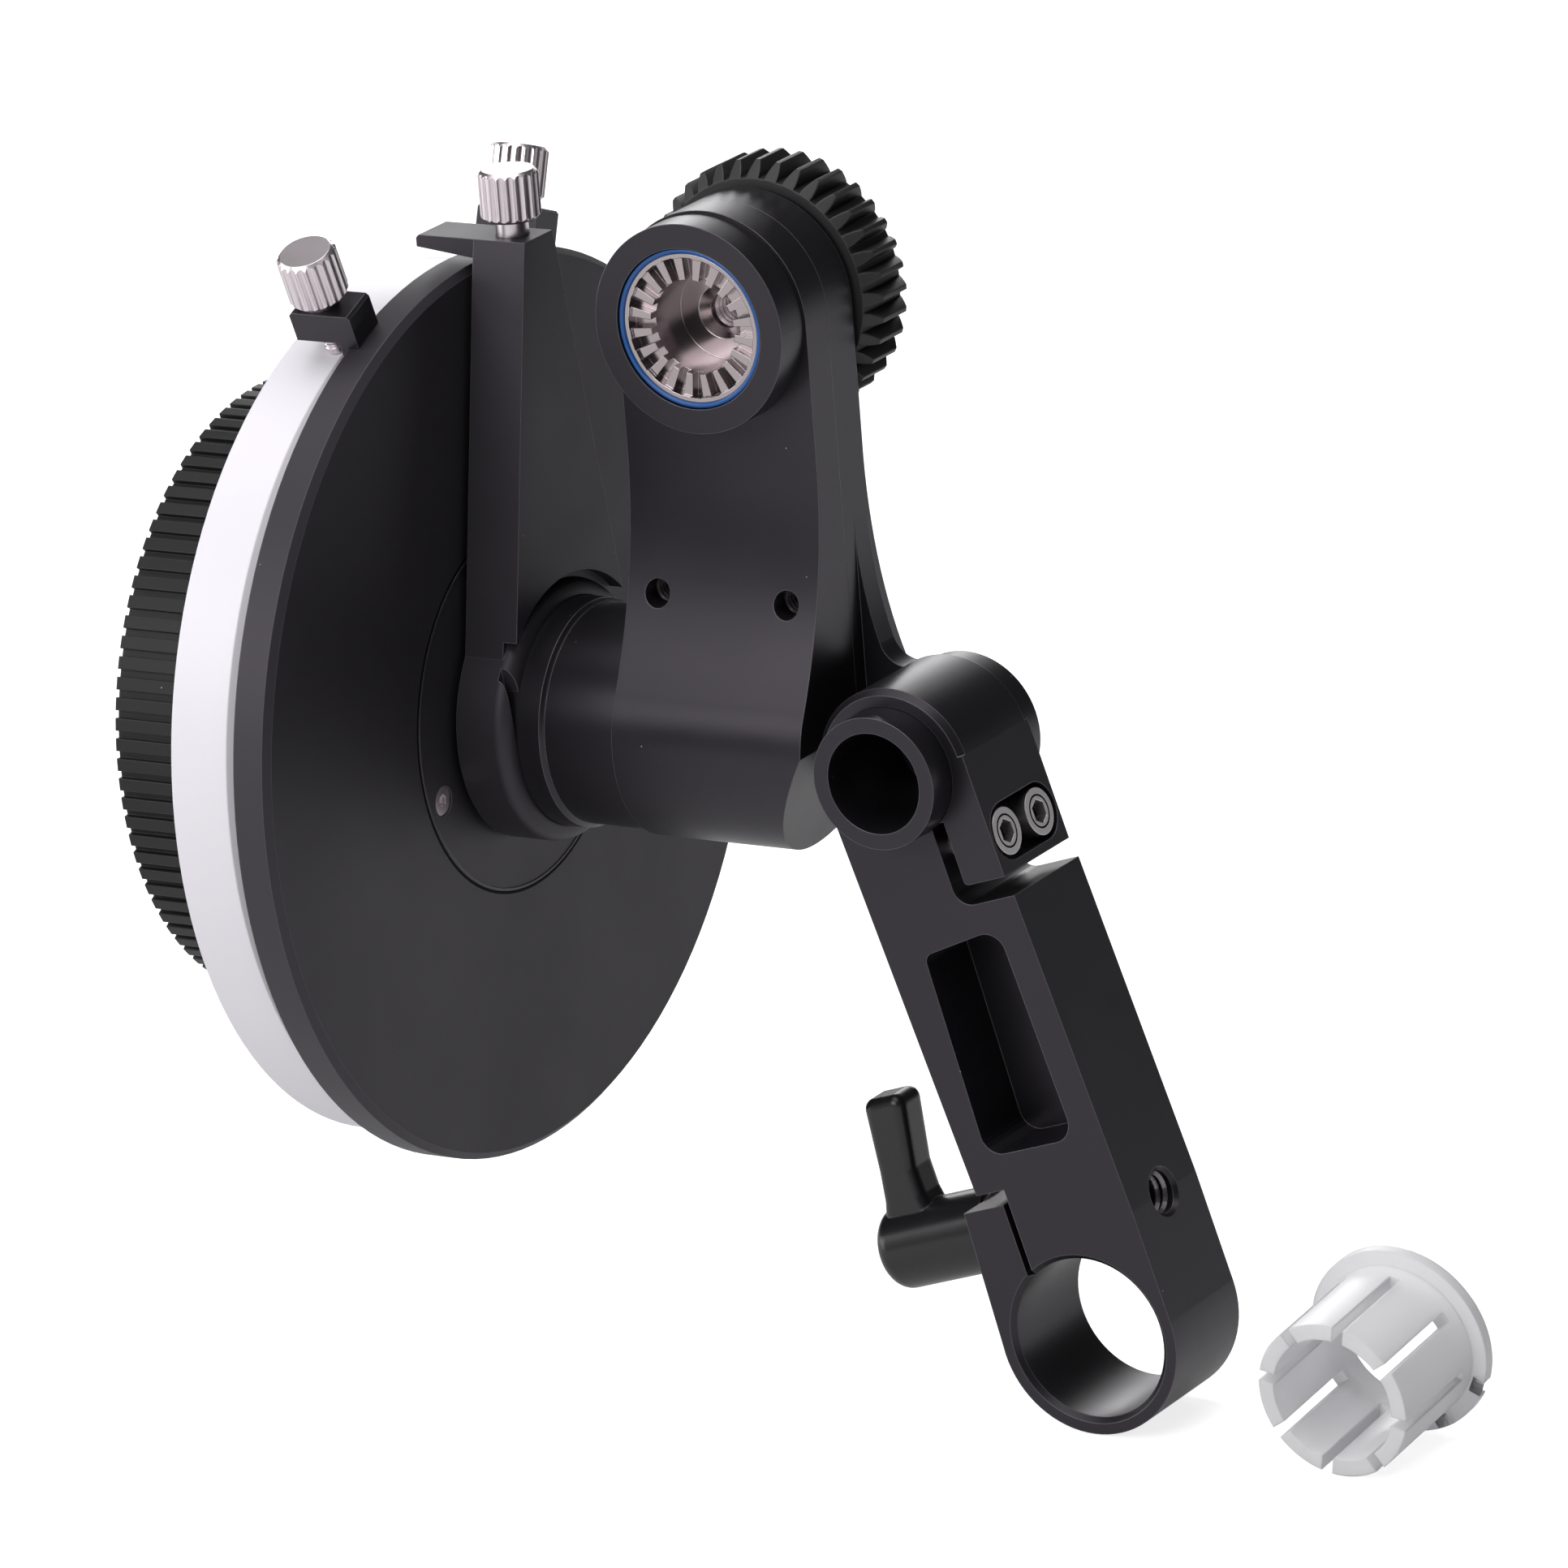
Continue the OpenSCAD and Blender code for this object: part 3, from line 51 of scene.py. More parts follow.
joints = {j["name"]: j for j in frame["record"]["behaviour"]["joints"]}
mounts = {m["name"]: m for m in frame["record"]["mounts"]}


def low_of(node):
    return Vector(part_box(node)[0])


def high_of(node):
    return Vector(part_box(node)[1])


def joint_place(name):
    return Vector(joints[name]["pos_m"])


def joint_axis(name):
    return Vector(joints[name]["axis"]).normalized()


def mount_size(name, size):
    """A mount's stated size, in metres."""
    return mounts[name]["dims"][size] * MM


wheel_centre = joint_place("handwheel_turn")


# Shader node helpers

FLOAT, VECTOR = "NodeSocketFloat", "NodeSocketVector"

# Sockets of the colour Mix node, which share their names with those of its other types
MIX_SHARE = 0
MIX_A = 6
MIX_B = 7
MIX_RESULT = 2


def wire(tree, *pairs):
    """Links each pair of an output and an input."""
    for source, target in pairs:
        tree.links.new(source, target)


def add(tree, kind, **values):
    """One node, with its settings and its unlinked inputs given by name or by number."""
    node = tree.nodes.new(kind)
    for name, value in values.items():
        if name.startswith("in_"):
            key = name[3:].replace("_", " ").title()
            node.inputs[int(key) if key.isdigit() else key].default_value = value
        else:
            setattr(node, name, value)
    return node


def add_mix(tree, a=None, b=None):
    """A colour Mix node with its two colours, where they aren't linked."""
    node = add(tree, "ShaderNodeMix", data_type="RGBA")
    for socket, colour in ((MIX_A, a), (MIX_B, b)):
        if colour is not None:
            node.inputs[socket].default_value = (*colour, 1.0)
    return node


def new_group(name, inputs, outputs):
    """An empty node group with named sockets, and its two end nodes."""
    group = bpy.data.node_groups.new(name, "ShaderNodeTree")
    for label, kind, value in inputs:
        socket = group.interface.new_socket(label, in_out="INPUT", socket_type=kind)
        if value is not None:
            socket.default_value = value
    for label, kind in outputs:
        group.interface.new_socket(label, in_out="OUTPUT", socket_type=kind)
    return group, group.nodes.new("NodeGroupInput"), group.nodes.new("NodeGroupOutput")


def use_group(tree, group, **values):
    """One node of a group, with its inputs given by name."""
    node = tree.nodes.new("ShaderNodeGroup")
    node.node_tree = group
    for name, value in values.items():
        node.inputs[name.replace("_", " ").title()].default_value = value
    return node


# Effects that the finishes share: soft edges with a painted highlight along them, blasted grain and dust

BEVEL_SAMPLES = 6
EDGE_RADIUS = 0.2 * MM
EDGE_GAIN = 10.0
GRAIN_SIZE = 0.12 * MM
GRAIN_DEPTH = 0.004 * MM
PATCH_SIZE = 14 * MM
SPECK_SPACING = 2.4 * MM
SPECK_REACH = 0.035
SPECK_SHARE = 0.16
SPECK_COLOUR = (0.35, 0.34, 0.34)


def edge_rounding_group():
    """Rounds every sharp edge in the shading and gives a mask of the edges, where the finishes paint a
    highlight.
    """
    group, ins, outs = new_group(
        "edge rounding",
        [("Radius", FLOAT, EDGE_RADIUS), ("Normal In", VECTOR, None), ("Sharpness", FLOAT, EDGE_GAIN)],
        [("Normal", VECTOR), ("Edge", FLOAT)],
    )
    soft = add(group, "ShaderNodeBevel", samples=BEVEL_SAMPLES)
    plain = add(group, "ShaderNodeBevel", samples=BEVEL_SAMPLES)
    true = add(group, "ShaderNodeNewGeometry")
    dot = add(group, "ShaderNodeVectorMath", operation="DOT_PRODUCT")
    away = add(group, "ShaderNodeMath", operation="SUBTRACT", in_0=1.0)
    gain = add(group, "ShaderNodeMath", operation="MULTIPLY", use_clamp=True)
    wire(
        group,
        (ins.outputs["Radius"], soft.inputs["Radius"]),
        (ins.outputs["Radius"], plain.inputs["Radius"]),
        (ins.outputs["Normal In"], soft.inputs["Normal"]),
        (plain.outputs["Normal"], dot.inputs[0]),
        (true.outputs["True Normal"], dot.inputs[1]),
        (dot.outputs["Value"], away.inputs[1]),
        (away.outputs[0], gain.inputs[0]),
        (ins.outputs["Sharpness"], gain.inputs[1]),
        (soft.outputs["Normal"], outs.inputs["Normal"]),
        (gain.outputs[0], outs.inputs["Edge"]),
    )
    return group


def grain_group():
    """Fine blasted grain: a height for a bump and a slow drift for colour and gloss."""
    group, ins, outs = new_group(
        "blasted grain",
        [("Grain Size", FLOAT, GRAIN_SIZE), ("Patch Size", FLOAT, PATCH_SIZE)],
        [("Height", FLOAT), ("Patches", FLOAT)],
    )
    place = add(group, "ShaderNodeTexCoord")
    fine_scale = add(group, "ShaderNodeMath", operation="DIVIDE", in_0=1.0)
    patch_scale = add(group, "ShaderNodeMath", operation="DIVIDE", in_0=1.0)
    fine = add(group, "ShaderNodeTexNoise", in_detail=2.0, in_roughness=0.6)
    patches = add(group, "ShaderNodeTexNoise", in_detail=4.0, in_roughness=0.55)
    wire(
        group,
        (ins.outputs["Grain Size"], fine_scale.inputs[1]),
        (ins.outputs["Patch Size"], patch_scale.inputs[1]),
        (place.outputs["Object"], fine.inputs["Vector"]),
        (place.outputs["Object"], patches.inputs["Vector"]),
        (fine_scale.outputs[0], fine.inputs["Scale"]),
        (patch_scale.outputs[0], patches.inputs["Scale"]),
        (fine.outputs["Fac"], outs.inputs["Height"]),
        (patches.outputs["Fac"], outs.inputs["Patches"]),
    )
    return group


def speck_group():
    """Sparse pale specks of dust and lint."""
    group, ins, outs = new_group(
        "dust specks",
        [("Spacing", FLOAT, SPECK_SPACING), ("Share", FLOAT, SPECK_SHARE)],
        [("Specks", FLOAT)],
    )
    place = add(group, "ShaderNodeTexCoord")
    scale = add(group, "ShaderNodeMath", operation="DIVIDE", in_0=1.0)
    cells = add(group, "ShaderNodeTexVoronoi", feature="F1")
    near = add(group, "ShaderNodeMath", operation="LESS_THAN", in_1=SPECK_REACH)
    tone = add(group, "ShaderNodeSeparateColor")
    few = add(group, "ShaderNodeMath", operation="LESS_THAN")
    both = add(group, "ShaderNodeMath", operation="MULTIPLY")
    wire(
        group,
        (ins.outputs["Spacing"], scale.inputs[1]),
        (place.outputs["Object"], cells.inputs["Vector"]),
        (scale.outputs[0], cells.inputs["Scale"]),
        (cells.outputs["Distance"], near.inputs[0]),
        (cells.outputs["Color"], tone.inputs["Color"]),
        (tone.outputs["Red"], few.inputs[0]),
        (ins.outputs["Share"], few.inputs[1]),
        (near.outputs[0], both.inputs[0]),
        (few.outputs[0], both.inputs[1]),
        (both.outputs[0], outs.inputs["Specks"]),
    )
    return group


edge_rounding = edge_rounding_group()
blasted_grain = grain_group()
dust_specks = speck_group()


def finish_material(
    name, colour, roughness, metallic=0.0, painted_edge_colour=None, edge_radius=EDGE_RADIUS, edge_gain=EDGE_GAIN,
    grain_size=GRAIN_SIZE, grain_depth=GRAIN_DEPTH, drift=0.12, gloss_drift=0.08, specks=0.0, specular=0.5,
    tint=(1.0, 1.0, 1.0),
):
    """A finish with soft edges under a painted highlight, grain, slow drift in tone and gloss, and a little
    dust.
    """
    material = bpy.data.materials.new(name)
    material.use_nodes = True
    tree = material.node_tree
    shader = tree.nodes["Principled BSDF"]
    shader.inputs["Metallic"].default_value = metallic
    shader.inputs["Specular IOR Level"].default_value = specular
    shader.inputs["Specular Tint"].default_value = (*tint, 1.0)
    grain = use_group(tree, blasted_grain, grain_size=grain_size)
    bump = add(tree, "ShaderNodeBump", in_strength=1.0, in_distance=grain_depth)
    edges = use_group(tree, edge_rounding, radius=edge_radius, sharpness=edge_gain)
    dark, light = (tuple(min(1.0, c * k) for c in colour) for k in (1 - drift, 1 + drift))
    tone = add_mix(tree, a=dark, b=light)
    # Painted highlight: the edge mask mixes the base colour towards the edge colour, mostly paler than the
    # base, along each edge
    painted_edges = add_mix(tree, b=painted_edge_colour or colour)
    gloss = add(
        tree, "ShaderNodeMapRange", in_to_min=roughness - gloss_drift, in_to_max=roughness + gloss_drift
    )
    wire(
        tree,
        (grain.outputs["Height"], bump.inputs["Height"]),
        (bump.outputs["Normal"], edges.inputs["Normal In"]),
        (edges.outputs["Normal"], shader.inputs["Normal"]),
        (grain.outputs["Patches"], tone.inputs[MIX_SHARE]),
        (tone.outputs[MIX_RESULT], painted_edges.inputs[MIX_A]),
        (edges.outputs["Edge"], painted_edges.inputs[MIX_SHARE]),
        (grain.outputs["Patches"], gloss.inputs["Value"]),
        (gloss.outputs["Result"], shader.inputs["Roughness"]),
    )
    surface = painted_edges
    if specks:
        dust = use_group(tree, dust_specks, share=specks)
        surface = add_mix(tree, b=SPECK_COLOUR)
        wire(
            tree,
            (dust.outputs["Specks"], surface.inputs[MIX_SHARE]),
            (painted_edges.outputs[MIX_RESULT], surface.inputs[MIX_A]),
        )
    wire(tree, (surface.outputs[MIX_RESULT], shader.inputs["Base Color"]))
    return material


# Finishes

DYE_TINT = (0.96, 0.88, 1.0)  # what the black dye leaves of a reflection
NYLON_SCATTER = 1.5 * MM

# The edge colours below paint a highlight along the edges
satin_anodised = finish_material(
    "satin anodised", (0.0080, 0.0073, 0.0092), 0.34, painted_edge_colour=(0.15, 0.145, 0.155),
    edge_radius=0.16 * MM, specks=0.14, tint=DYE_TINT,
)
blasted_anodised = finish_material(
    "blasted anodised", (0.020, 0.0185, 0.0218), 0.50, painted_edge_colour=(0.12, 0.115, 0.125),
    edge_radius=0.16 * MM, grain_size=0.2 * MM, grain_depth=0.008 * MM, specks=0.2, tint=DYE_TINT,
)
moulded_nylon = finish_material(
    "moulded nylon", (0.019, 0.0182, 0.0198), 0.46, painted_edge_colour=(0.03, 0.03, 0.033), edge_radius=0.3 * MM,
    grain_size=0.3 * MM, specks=0.1,
)
lever_lacquer = finish_material(
    "lever lacquer", (0.0095, 0.0088, 0.0108), 0.28, painted_edge_colour=(0.02, 0.02, 0.022), edge_radius=0.4 * MM,
    grain_size=0.5 * MM, specks=0.08,
)
turned_steel = finish_material(
    "turned steel", (0.72, 0.65, 0.685), 0.30, metallic=1.0, painted_edge_colour=(0.86, 0.82, 0.84),
    edge_radius=0.12 * MM, edge_gain=6.0, drift=0.06, gloss_drift=0.06,
)
crown_steel = finish_material(
    "ground crown steel", (0.37, 0.325, 0.335), 0.20, metallic=1.0, painted_edge_colour=(0.62, 0.57, 0.59),
    edge_radius=0.12 * MM, edge_gain=6.0, drift=0.06, gloss_drift=0.06,
)
bronze = finish_material("sintered bronze", (0.36, 0.24, 0.12), 0.5, metallic=0.9, grain_size=0.2 * MM)
grip_rubber = finish_material(
    "grip rubber", (0.008, 0.008, 0.0088), 0.5, painted_edge_colour=(0.022, 0.022, 0.024), edge_radius=0.25 * MM,
    grain_size=0.3 * MM, specks=0.08, specular=0.3,
)
plated_steel = finish_material(
    "plated steel", (0.90, 0.87, 0.89), 0.34, metallic=1.0, painted_edge_colour=(0.95, 0.93, 0.94),
    edge_radius=0.1 * MM, drift=0.03, gloss_drift=0.04,
)
# Painted shade: a near-black finish for thin flat pieces that stand in for the shade in gaps, grooves and
# sockets
painted_shade = finish_material(
    "painted shade", (0.0012, 0.0012, 0.0014), 0.7, specular=0.1, drift=0.0, gloss_drift=0.0,
)
white_acetal = finish_material(
    "white acetal", (0.785, 0.76, 0.815), 0.38, edge_radius=0.3 * MM, drift=0.015, gloss_drift=0.04,
    grain_depth=0.002 * MM,
)
pale_nylon = finish_material(
    "pale nylon", (0.92, 0.915, 0.935), 0.34, painted_edge_colour=(0.90, 0.90, 0.92), edge_radius=0.35 * MM,
    edge_gain=8.0, drift=0.03,
)
# Painted glint: the black anodised threads are coloured a pale metallic grey, standing in for the glare on
# them
painted_glint_thread = finish_material(
    "painted glint thread", (0.26, 0.245, 0.26), 0.28, metallic=0.85, painted_edge_colour=(0.4, 0.38, 0.4),
    edge_radius=0.05 * MM,
)
blue_rubber = finish_material(
    "blue nitrile", (0.012, 0.085, 0.30), 0.35, edge_radius=0.1 * MM, drift=0.05, grain_depth=0.001 * MM
)

nylon_shader = pale_nylon.node_tree.nodes["Principled BSDF"]
nylon_shader.inputs["Subsurface Weight"].default_value = 0.25
nylon_shader.inputs["Subsurface Radius"].default_value = (1.0, 1.0, 1.0)
nylon_shader.inputs["Subsurface Scale"].default_value = NYLON_SCATTER
nylon_shader.inputs["Transmission Weight"].default_value = 0.35

SLOT_FINISHES = {
    "black_anodised": satin_anodised,
    "black_moulded": moulded_nylon,
    "steel": turned_steel,
    "bronze": bronze,
    "white_plastic": white_acetal,
    "clear_plastic": pale_nylon,
    "blue_rubber": blue_rubber,
}
NODE_FINISHES = {
    "wheel_disc": blasted_anodised,
    "hub_plate": blasted_anodised,
    "pointer_bracket": blasted_anodised,
    "clamp_lever": lever_lacquer,
    "grip_ring": grip_rubber,
    "output_coupling": crown_steel,
    "arm_pinch_screws": plated_steel,
}


def dress_nodes():
    """Gives each solid its own finish, or else its material slot's."""
    slots = {s["node"]: s["material_slot"] for s in frame["record"]["subparts"]}
    for name, node in frame["nodes"].items():
        node.data.materials.clear()
        node.data.materials.append(NODE_FINISHES.get(name) or SLOT_FINISHES[slots[name]])


dress_nodes()


# Making the small pieces that the solids leave out

WELD = 0.001 * MM
RING_STEPS = 96
HEX_SIDES = 6


def finish_piece(bm, name, finish, body):
    """Turns a bmesh into a named piece that rides on a body and takes a slot's finish."""
    bmesh.ops.remove_doubles(bm, verts=bm.verts, dist=WELD)
    bmesh.ops.recalc_face_normals(bm, faces=bm.faces)
    mesh = bpy.data.meshes.new(name)
    bm.to_mesh(mesh)
    bm.free()
    mesh.materials.append(finish)
    piece = bpy.data.objects.new(name, mesh)
    bpy.context.scene.collection.objects.link(piece)
    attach(piece, body)


def closed_profile(bm, points):
    """A loop of vertices and edges through the points, for a spin."""
    verts = [bm.verts.new(p) for p in points]
    return verts + [bm.edges.new(pair) for pair in zip(verts, verts[1:] + verts[:1])]


def turned_ring(name, profile, centre, axis, finish, body):
    """A ring turned from a closed profile of (height along the axis, radius) about a centre."""
    aside = axis.orthogonal().normalized()
    bm = bmesh.new()
    loop = closed_profile(bm, [centre + axis * h + aside * r for h, r in profile])
    bmesh.ops.spin(
        bm, geom=loop, cent=centre, axis=axis, angle=math.tau, steps=RING_STEPS, use_merge=True,
        use_duplicate=False,
    )
    finish_piece(bm, name, finish, body)


# The hub plate's edge. Each profile gives the height over the plate's face and the distance outside
# its edge, in mm

HUB_LIP_PROFILE = [(-0.10, -0.42), (0.07, -0.40), (0.10, -0.34), (0.10, -0.16), (-0.02, 0.0), (-0.10, 0.0)]
# The gap ring is painted shade: a thin dark ring where the gap between the plate and the disc lies in
# shadow
HUB_GAP_SHADE_PROFILE = [(-0.10, 0.0), (0.015, 0.0), (0.015, 0.34), (-0.10, 0.34)]


def hub_plate_edge():
    """The turned lip of the hub plate, and a flat near-black ring of painted shade that stands in for the
    gap between it and the disc.
    """
    low, high = low_of("hub_plate"), high_of("hub_plate")
    radius = (high.z - low.z) / 2
    centre = Vector((high.x, wheel_centre.y, wheel_centre.z))
    axis = Vector((1.0, 0.0, 0.0))
    for name, profile, finish in (
        ("hub_plate_lip", HUB_LIP_PROFILE, satin_anodised), ("hub_plate_gap_shade", HUB_GAP_SHADE_PROFILE, painted_shade),
    ):
        turned = [(h * MM, radius + r * MM) for h, r in profile]
        turned_ring(name, turned, centre, axis, finish, "handwheel")


# Faces of the two pinch screws. The shares are of a head's radius

FACE_BAND = 0.05 * MM
# The groove ring is painted shade, a flat dark ring standing a little proud of the head's face
GROOVE_SHARES = (0.64, 0.72)
GROOVE_SUNK = 0.03 * MM
GROOVE_PROUD = 0.012 * MM
SOCKET_SHARE = 0.62
SOCKET_LEAST = 0.3 * MM  # a socket's corners lie deeper than this, clear of the head's face,
SOCKET_MOST = 2.7 * MM  # and less deep than this, clear of the shank's corners
SOCKET_FILL_SHARE = 0.97
SOCKET_FLOOR_T = 0.05 * MM


def across(vector, axis):
    """The part of a vector that lies square to an axis."""
    return vector - axis * axis.dot(vector)


def head_circle(head, axis, face, line):
    """The centre and radius of a screw's head from the corners on its face."""
    centre = axis * face
    for way in (line, axis.cross(line)):
        reach = [way.dot(c) for c in head]
        centre += way * (min(reach) + max(reach)) / 2
    return centre, max(abs(line.dot(c - centre)) for c in head)


def socket_floor(name, centre, axis, socket):
    """A dark hexagon of painted shade on a socket's floor, standing in for the shade in the socket, from
    the socket's corners as seen from the head's centre.
    """
    depth = min(axis.dot(c) for c in socket)
    corner = max((across(c, axis) for c in socket), key=lambda d: d.length) * SOCKET_FILL_SHARE
    middle = centre + axis * (depth + SOCKET_FLOOR_T)
    bm = bmesh.new()
    turns = [Matrix.Rotation(k * math.tau / HEX_SIDES, 3, axis) for k in range(HEX_SIDES)]
    hexagon = bm.faces.new([bm.verts.new(middle + turn @ corner) for turn in turns])
    plate = bmesh.ops.extrude_face_region(bm, geom=[hexagon])
    lifted = [v for v in plate["geom"] if isinstance(v, bmesh.types.BMVert)]
    bmesh.ops.translate(bm, verts=lifted, vec=axis * SOCKET_FLOOR_T)
    finish_piece(bm, name, painted_shade, "arm")


def pinch_screw_faces():
    """A flat dark ring of painted shade over the turned groove, and a dark hexagon of painted shade on the
    socket floor, of each screw that pinches the arm's head.
    """
    axis = joint_axis("lever_turn")
    if axis.x < 0:
        axis = -axis
    corners = [v.co.copy() for v in frame["nodes"]["arm_pinch_screws"].data.vertices]
    face = max(axis.dot(c) for c in corners)
    rim = [c for c in corners if axis.dot(c) > face - FACE_BAND]
    between = sum(rim, Vector()) / len(rim)
    line = across(max((c - between for c in rim), key=lambda d: d.length), axis).normalized()
    if line.y < 0:
        line = -line
    for side, name in ((1, "upper"), (-1, "lower")):
        head = [c for c in rim if side * line.dot(c - between) > 0]
        centre, radius = head_circle(head, axis, face, line)
        inner, outer = (share * radius for share in GROOVE_SHARES)
        groove = [
            (-GROOVE_SUNK, inner), (GROOVE_PROUD, inner), (GROOVE_PROUD, outer), (-GROOVE_SUNK, outer),
        ]
        # A dark ring of painted shade where the groove lies in shadow
        turned_ring(f"pinch_screw_groove_shade_{name}", groove, centre, axis, painted_shade, "arm")
        socket = [
            c - centre for c in corners
            if across(c - centre, axis).length < SOCKET_SHARE * radius
            and -SOCKET_MOST < axis.dot(c - centre) < -SOCKET_LEAST
        ]
        socket_floor(f"pinch_screw_socket_shade_{name}", centre, axis, socket)


# Screw threads, which the solids leave as plain bores and shanks. Each size gives the thread's depth,
# pitch and length

COUPLING_THREAD = (0.32 * MM, 0.8 * MM, 4.8 * MM)
STUD_THREAD = (0.38 * MM, 1.0 * MM, 3.4 * MM)
ACCESSORY_THREAD = (0.22 * MM, 0.7 * MM, 3.2 * MM)
STOP_THREAD = (0.2 * MM, 0.5 * MM, 2.2 * MM)

COUPLING_LEAD_IN = 0.4 * MM
STUD_RADIUS = 2.5 * MM
STUD_FACE = 10.9 * MM  # from the lever's joint to the arm's right side
ACCESSORY_LEAD_IN = 0.1 * MM
STOP_SHANK_RADIUS = 1.2 * MM
STOP_RING_GAP = 0.35 * MM

THREAD_STEPS = 28
FLANK_SHARE = 0.44  # half of a thread's foot, as a share of its pitch
CREST_SHARE = 0.06  # half of its crest
ROOT_SHARE = 0.2  # how far its foot sinks into the wall, as a share of its depth


def thread(name, start, axis, wall_radius, size, finish, body, inward=False):
    """A V thread wound round an axis from a start point: a ridge on a shank, or inward in a bore."""
    depth, pitch, length = size
    out = -1 if inward else 1
    aside = axis.orthogonal().normalized()
    crest = wall_radius + out * depth
    root = wall_radius - out * ROOT_SHARE * depth
    half, flat = FLANK_SHARE * pitch, CREST_SHARE * pitch
    profile = [(root, -half), (crest, -flat), (crest, flat), (root, half)]
    bm = bmesh.new()
    loop = closed_profile(bm, [start + axis * (half + z) + aside * r for r, z in profile])
    turns = (length - 2 * half) / pitch
    steps = round(turns * THREAD_STEPS)
    bmesh.ops.spin(
        bm, geom=loop, cent=start, axis=axis, dvec=axis * (pitch * turns / steps),
        angle=turns * math.tau, steps=steps, use_duplicate=False,
    )
    bmesh.ops.holes_fill(bm, edges=[e for e in bm.edges if e.is_boundary], sides=len(profile))
    finish_piece(bm, name, finish, body)


def bore_threads():
    """The threads seen in the coupling, in the arm's right side and in the cover's two holes."""
    inwards = Vector((0.0, 1.0, 0.0))
    middle = Vector(mounts["coupling_thread"]["pos_m"])
    mouth = middle - inwards * mount_size("coupling_thread", "length_mm") / 2
    thread("coupling_thread", mouth + inwards * COUPLING_LEAD_IN, inwards,
           mount_size("coupling_thread", "r_mm"), COUPLING_THREAD, turned_steel, "output",
           inward=True)
    lever_axis = joint_axis("lever_turn")
    # The arm's stud thread and the cover's threads take the pale grey of the painted glint
    thread("stud_thread", joint_place("lever_turn") + lever_axis * STUD_FACE, -lever_axis, STUD_RADIUS,
           STUD_THREAD, painted_glint_thread, "arm", inward=True)
    for side, name in ((-1, "left"), (1, "right")):
        centre = Vector(mounts["accessory_holes"]["pos_m"])
        centre.x += side * mount_size("accessory_holes", "spacing_x_mm") / 2
        centre.y = ACCESSORY_LEAD_IN
        thread(f"accessory_thread_{name}", centre, inwards, mount_size("accessory_holes", "hole_r_mm"),
               ACCESSORY_THREAD, painted_glint_thread, "gearbox", inward=True)


def stop_screw_threads():
    """The threaded shank that shows between each stop and the marking ring."""
    ring_top = high_of("marking_ring").z - wheel_centre.z
    for label in ("near", "far"):
        joint = f"{label}_stop_screw_turn"
        axis = joint_axis(joint)
        centre = Vector((joint_place(joint).x, wheel_centre.y, wheel_centre.z))
        start = centre + axis * (ring_top + STOP_RING_GAP)
        thread(f"{label}_stop_thread", start, axis, STOP_SHANK_RADIUS, STOP_THREAD, turned_steel,
               f"{label}_stop_screw")


hub_plate_edge()
pinch_screw_faces()
bore_threads()
stop_screw_threads()


# Camera of the photograph, in the object's own frame: angles in degrees, lens and sensor in mm, its
# place and reach in metres

CAMERA_AZIMUTH = 31.93
CAMERA_ELEVATION = 17.32
CAMERA_ROLL = -4.47
CAMERA_LENS = 264.87
CAMERA_SENSOR = 36.0
CAMERA_REACH = 10.0
CAMERA_PLACE = Vector((622.92, -1062.46, 450.32)) * MM


def make_camera():
    """The camera, turned about its own line of sight by the photograph's roll."""
    a, e, r = (math.radians(v) for v in (CAMERA_AZIMUTH, CAMERA_ELEVATION, CAMERA_ROLL))
    back = Vector((math.sin(a) * math.cos(e), -math.cos(a) * math.cos(e), math.sin(e)))
    right = Matrix.Rotation(r, 3, back) @ Vector((math.cos(a), math.sin(a), 0.0))
    up = back.cross(right)
    data = bpy.data.cameras.new("camera")
    data.lens = CAMERA_LENS
    data.sensor_width = CAMERA_SENSOR
    data.clip_end = CAMERA_REACH
    camera = bpy.data.objects.new("camera", data)
    camera.matrix_world = Matrix.Translation(CAMERA_PLACE) @ Matrix((right, up, back)).transposed().to_4x4()
    bpy.context.scene.collection.objects.link(camera)
    bpy.context.scene.camera = camera


make_camera()


# Floor and world: white where they are seen, and dim where they are mirrored

FLOOR_DROP = 0.2 * MM
FLOOR_HALF = 3.0
PAPER = (0.60, 0.60, 0.60, 1.0)
WHITE = (1.0, 1.0, 1.0, 1.0)
FLOOR_GLOW = 0.80
FLOOR_MIRROR_SHARE = 0.35
WORLD_FILL = 0.05
WORLD_MIRROR_SHARE = 0.02


def background_share(tree, mirror_share):
    """1 for rays that see the background straight or through glass, mirror_share for mirrored ones."""
    path = add(tree, "ShaderNodeLightPath")
    straight = add(tree, "ShaderNodeMath", operation="MAXIMUM")
    mirrored = add(tree, "ShaderNodeMath", operation="MULTIPLY", in_1=mirror_share)
    either = add(tree, "ShaderNodeMath", operation="MAXIMUM")
    wire(
        tree,
        (path.outputs["Is Camera Ray"], straight.inputs[0]),
        (path.outputs["Is Transmission Ray"], straight.inputs[1]),
        (path.outputs["Is Glossy Ray"], mirrored.inputs[0]),
        (straight.outputs[0], either.inputs[0]),
        (mirrored.outputs[0], either.inputs[1]),
    )
    return either.outputs[0]


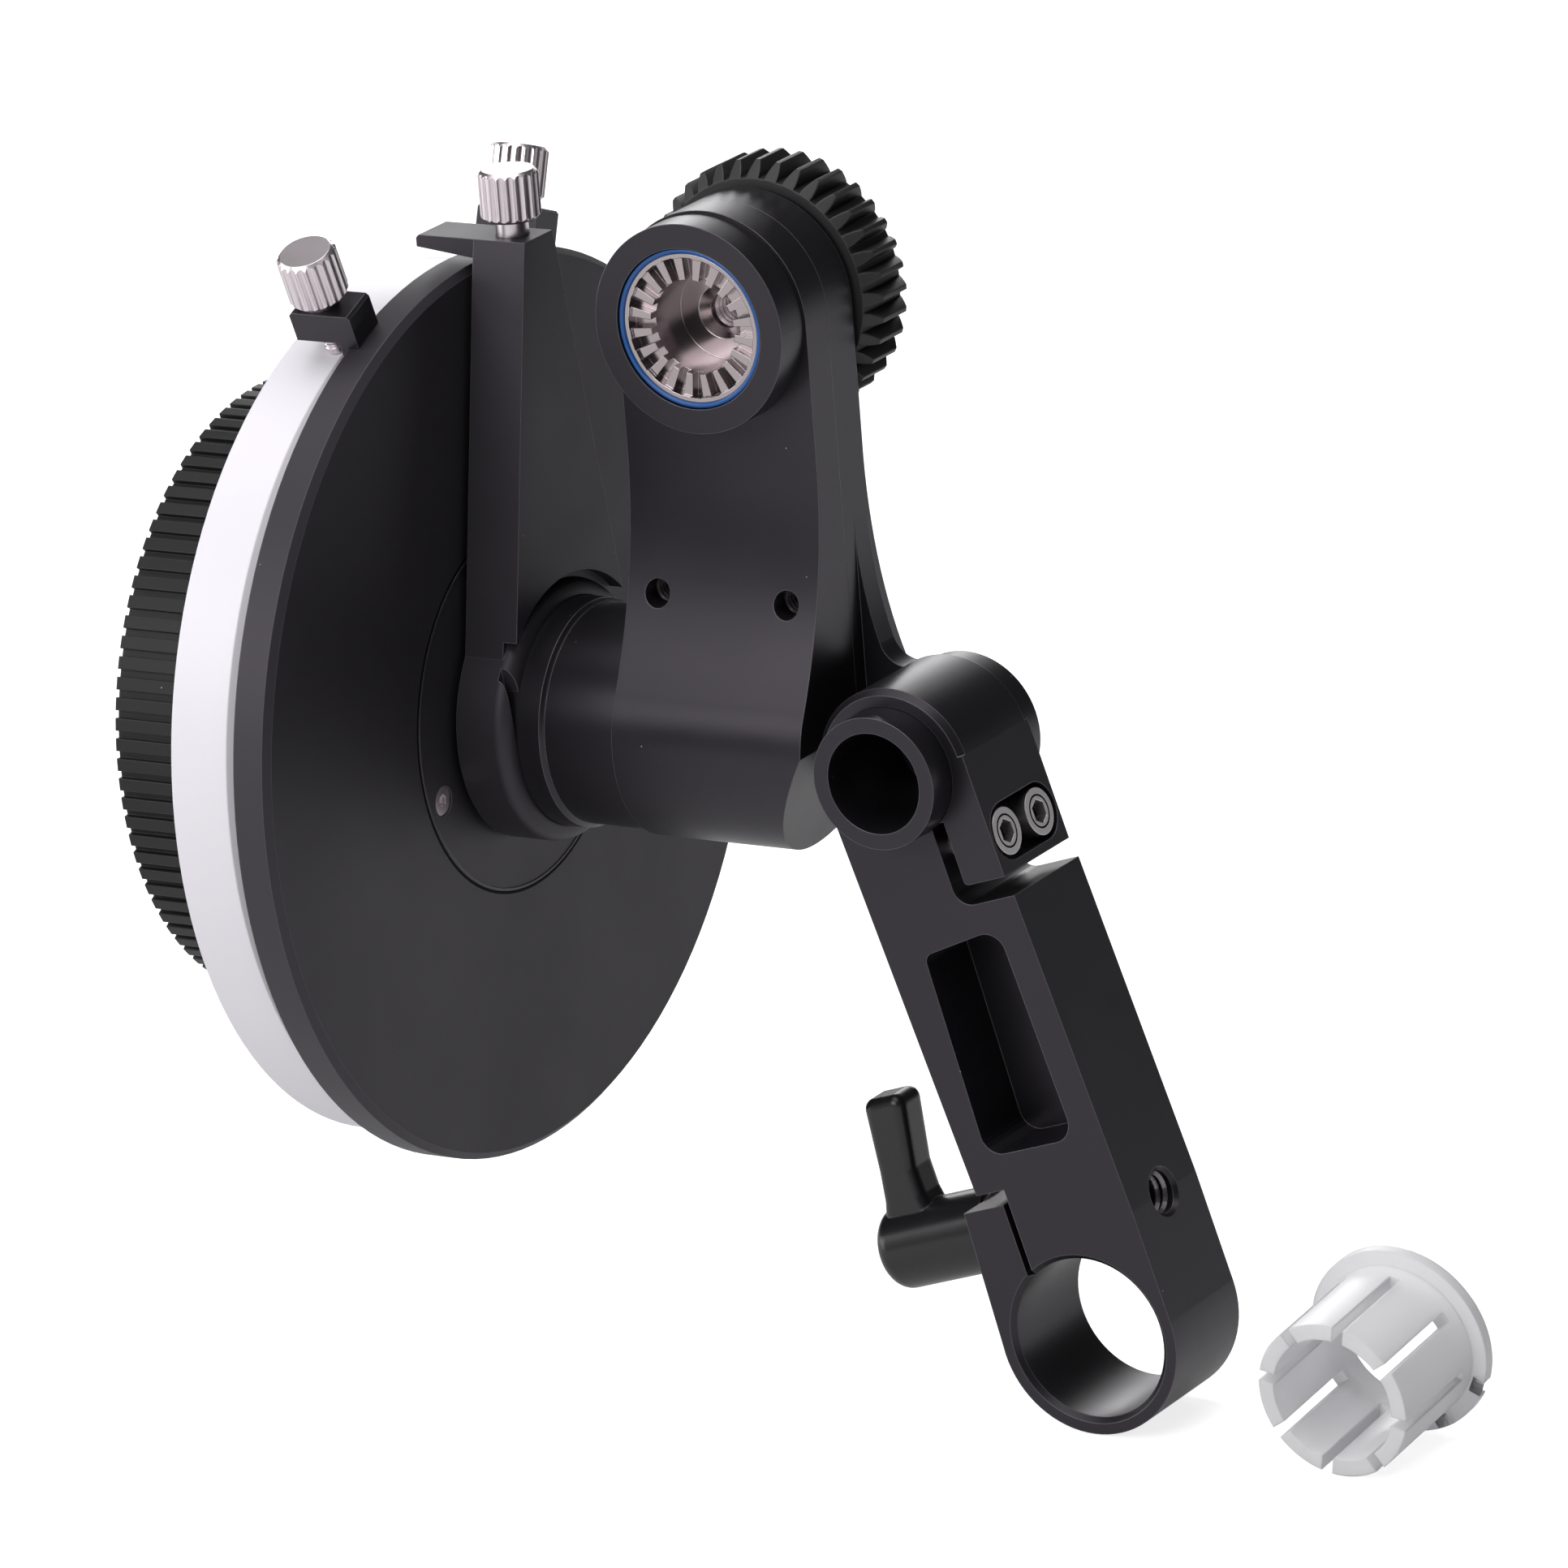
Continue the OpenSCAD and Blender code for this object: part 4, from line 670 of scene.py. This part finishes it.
def floor_material():
    """Pale paper that keeps the shadow, with the glow that brings it up to white."""
    material = bpy.data.materials.new("pale floor")
    material.use_nodes = True
    tree = material.node_tree
    tree.nodes.remove(tree.nodes["Principled BSDF"])
    paper = add(tree, "ShaderNodeBsdfDiffuse", in_color=PAPER)
    glow = add(tree, "ShaderNodeEmission", in_color=WHITE)
    level = add(tree, "ShaderNodeMath", operation="MULTIPLY", in_1=FLOOR_GLOW)
    both = add(tree, "ShaderNodeAddShader")
    wire(
        tree,
        (background_share(tree, FLOOR_MIRROR_SHARE), level.inputs[0]),
        (level.outputs[0], glow.inputs["Strength"]),
        (paper.outputs[0], both.inputs[0]),
        (glow.outputs[0], both.inputs[1]),
        (both.outputs[0], tree.nodes["Material Output"].inputs["Surface"]),
    )
    return material


def make_floor():
    """A flat floor just under the arm, which stands on it."""
    bm = bmesh.new()
    bmesh.ops.create_grid(bm, x_segments=1, y_segments=1, size=FLOOR_HALF)
    bmesh.ops.translate(bm, verts=bm.verts, vec=(0, 0, low_of("bridge_arm").z - FLOOR_DROP))
    mesh = bpy.data.meshes.new("floor")
    bm.to_mesh(mesh)
    bm.free()
    floor = bpy.data.objects.new("floor", mesh)
    bpy.context.scene.collection.objects.link(floor)
    mesh.materials.append(floor_material())


def make_world():
    """A dim studio round the object that is white where the camera sees it."""
    world = bpy.data.worlds.new("studio")
    bpy.context.scene.world = world
    world.use_nodes = True
    tree = world.node_tree
    sky = tree.nodes["Background"]
    level = add(tree, "ShaderNodeMapRange", in_to_min=WORLD_FILL, in_to_max=1.0)
    sky.inputs["Color"].default_value = WHITE
    wire(
        tree,
        (background_share(tree, WORLD_MIRROR_SHARE), level.inputs["Value"]),
        (level.outputs["Result"], sky.inputs["Strength"]),
    )


make_floor()
make_world()


# Lamps: each one's place and its width and height in metres, and its power in watts

LAMP_AIM = Vector((-45.0, 5.0, 65.0)) * MM
LAMPS = {
    "left": ((-1.0, -0.38, 0.20), (0.7, 0.8), 6.2),
    "key": ((-0.25, -0.95, 0.55), (0.7, 0.5), 5.6),
    "overhead": ((-0.10, -0.10, 1.30), (1.6, 1.2), 14.0),
    "back": ((-0.60, 1.00, 0.42), (0.8, 0.4), 4.0),
}


def softbox(name, place, size, power):
    """A rectangular lamp that faces the object's middle."""
    data = bpy.data.lights.new(name, "AREA")
    data.shape = "RECTANGLE"
    data.size, data.size_y = size
    data.energy = power
    lamp = bpy.data.objects.new(name, data)
    turn = (LAMP_AIM - Vector(place)).to_track_quat("-Z", "Y").to_matrix().to_4x4()
    lamp.matrix_world = Matrix.Translation(place) @ turn
    bpy.context.scene.collection.objects.link(lamp)


for name, (place, size, power) in LAMPS.items():
    softbox(name, place, size, power)

bpy.context.scene.view_settings.view_transform = "Standard"
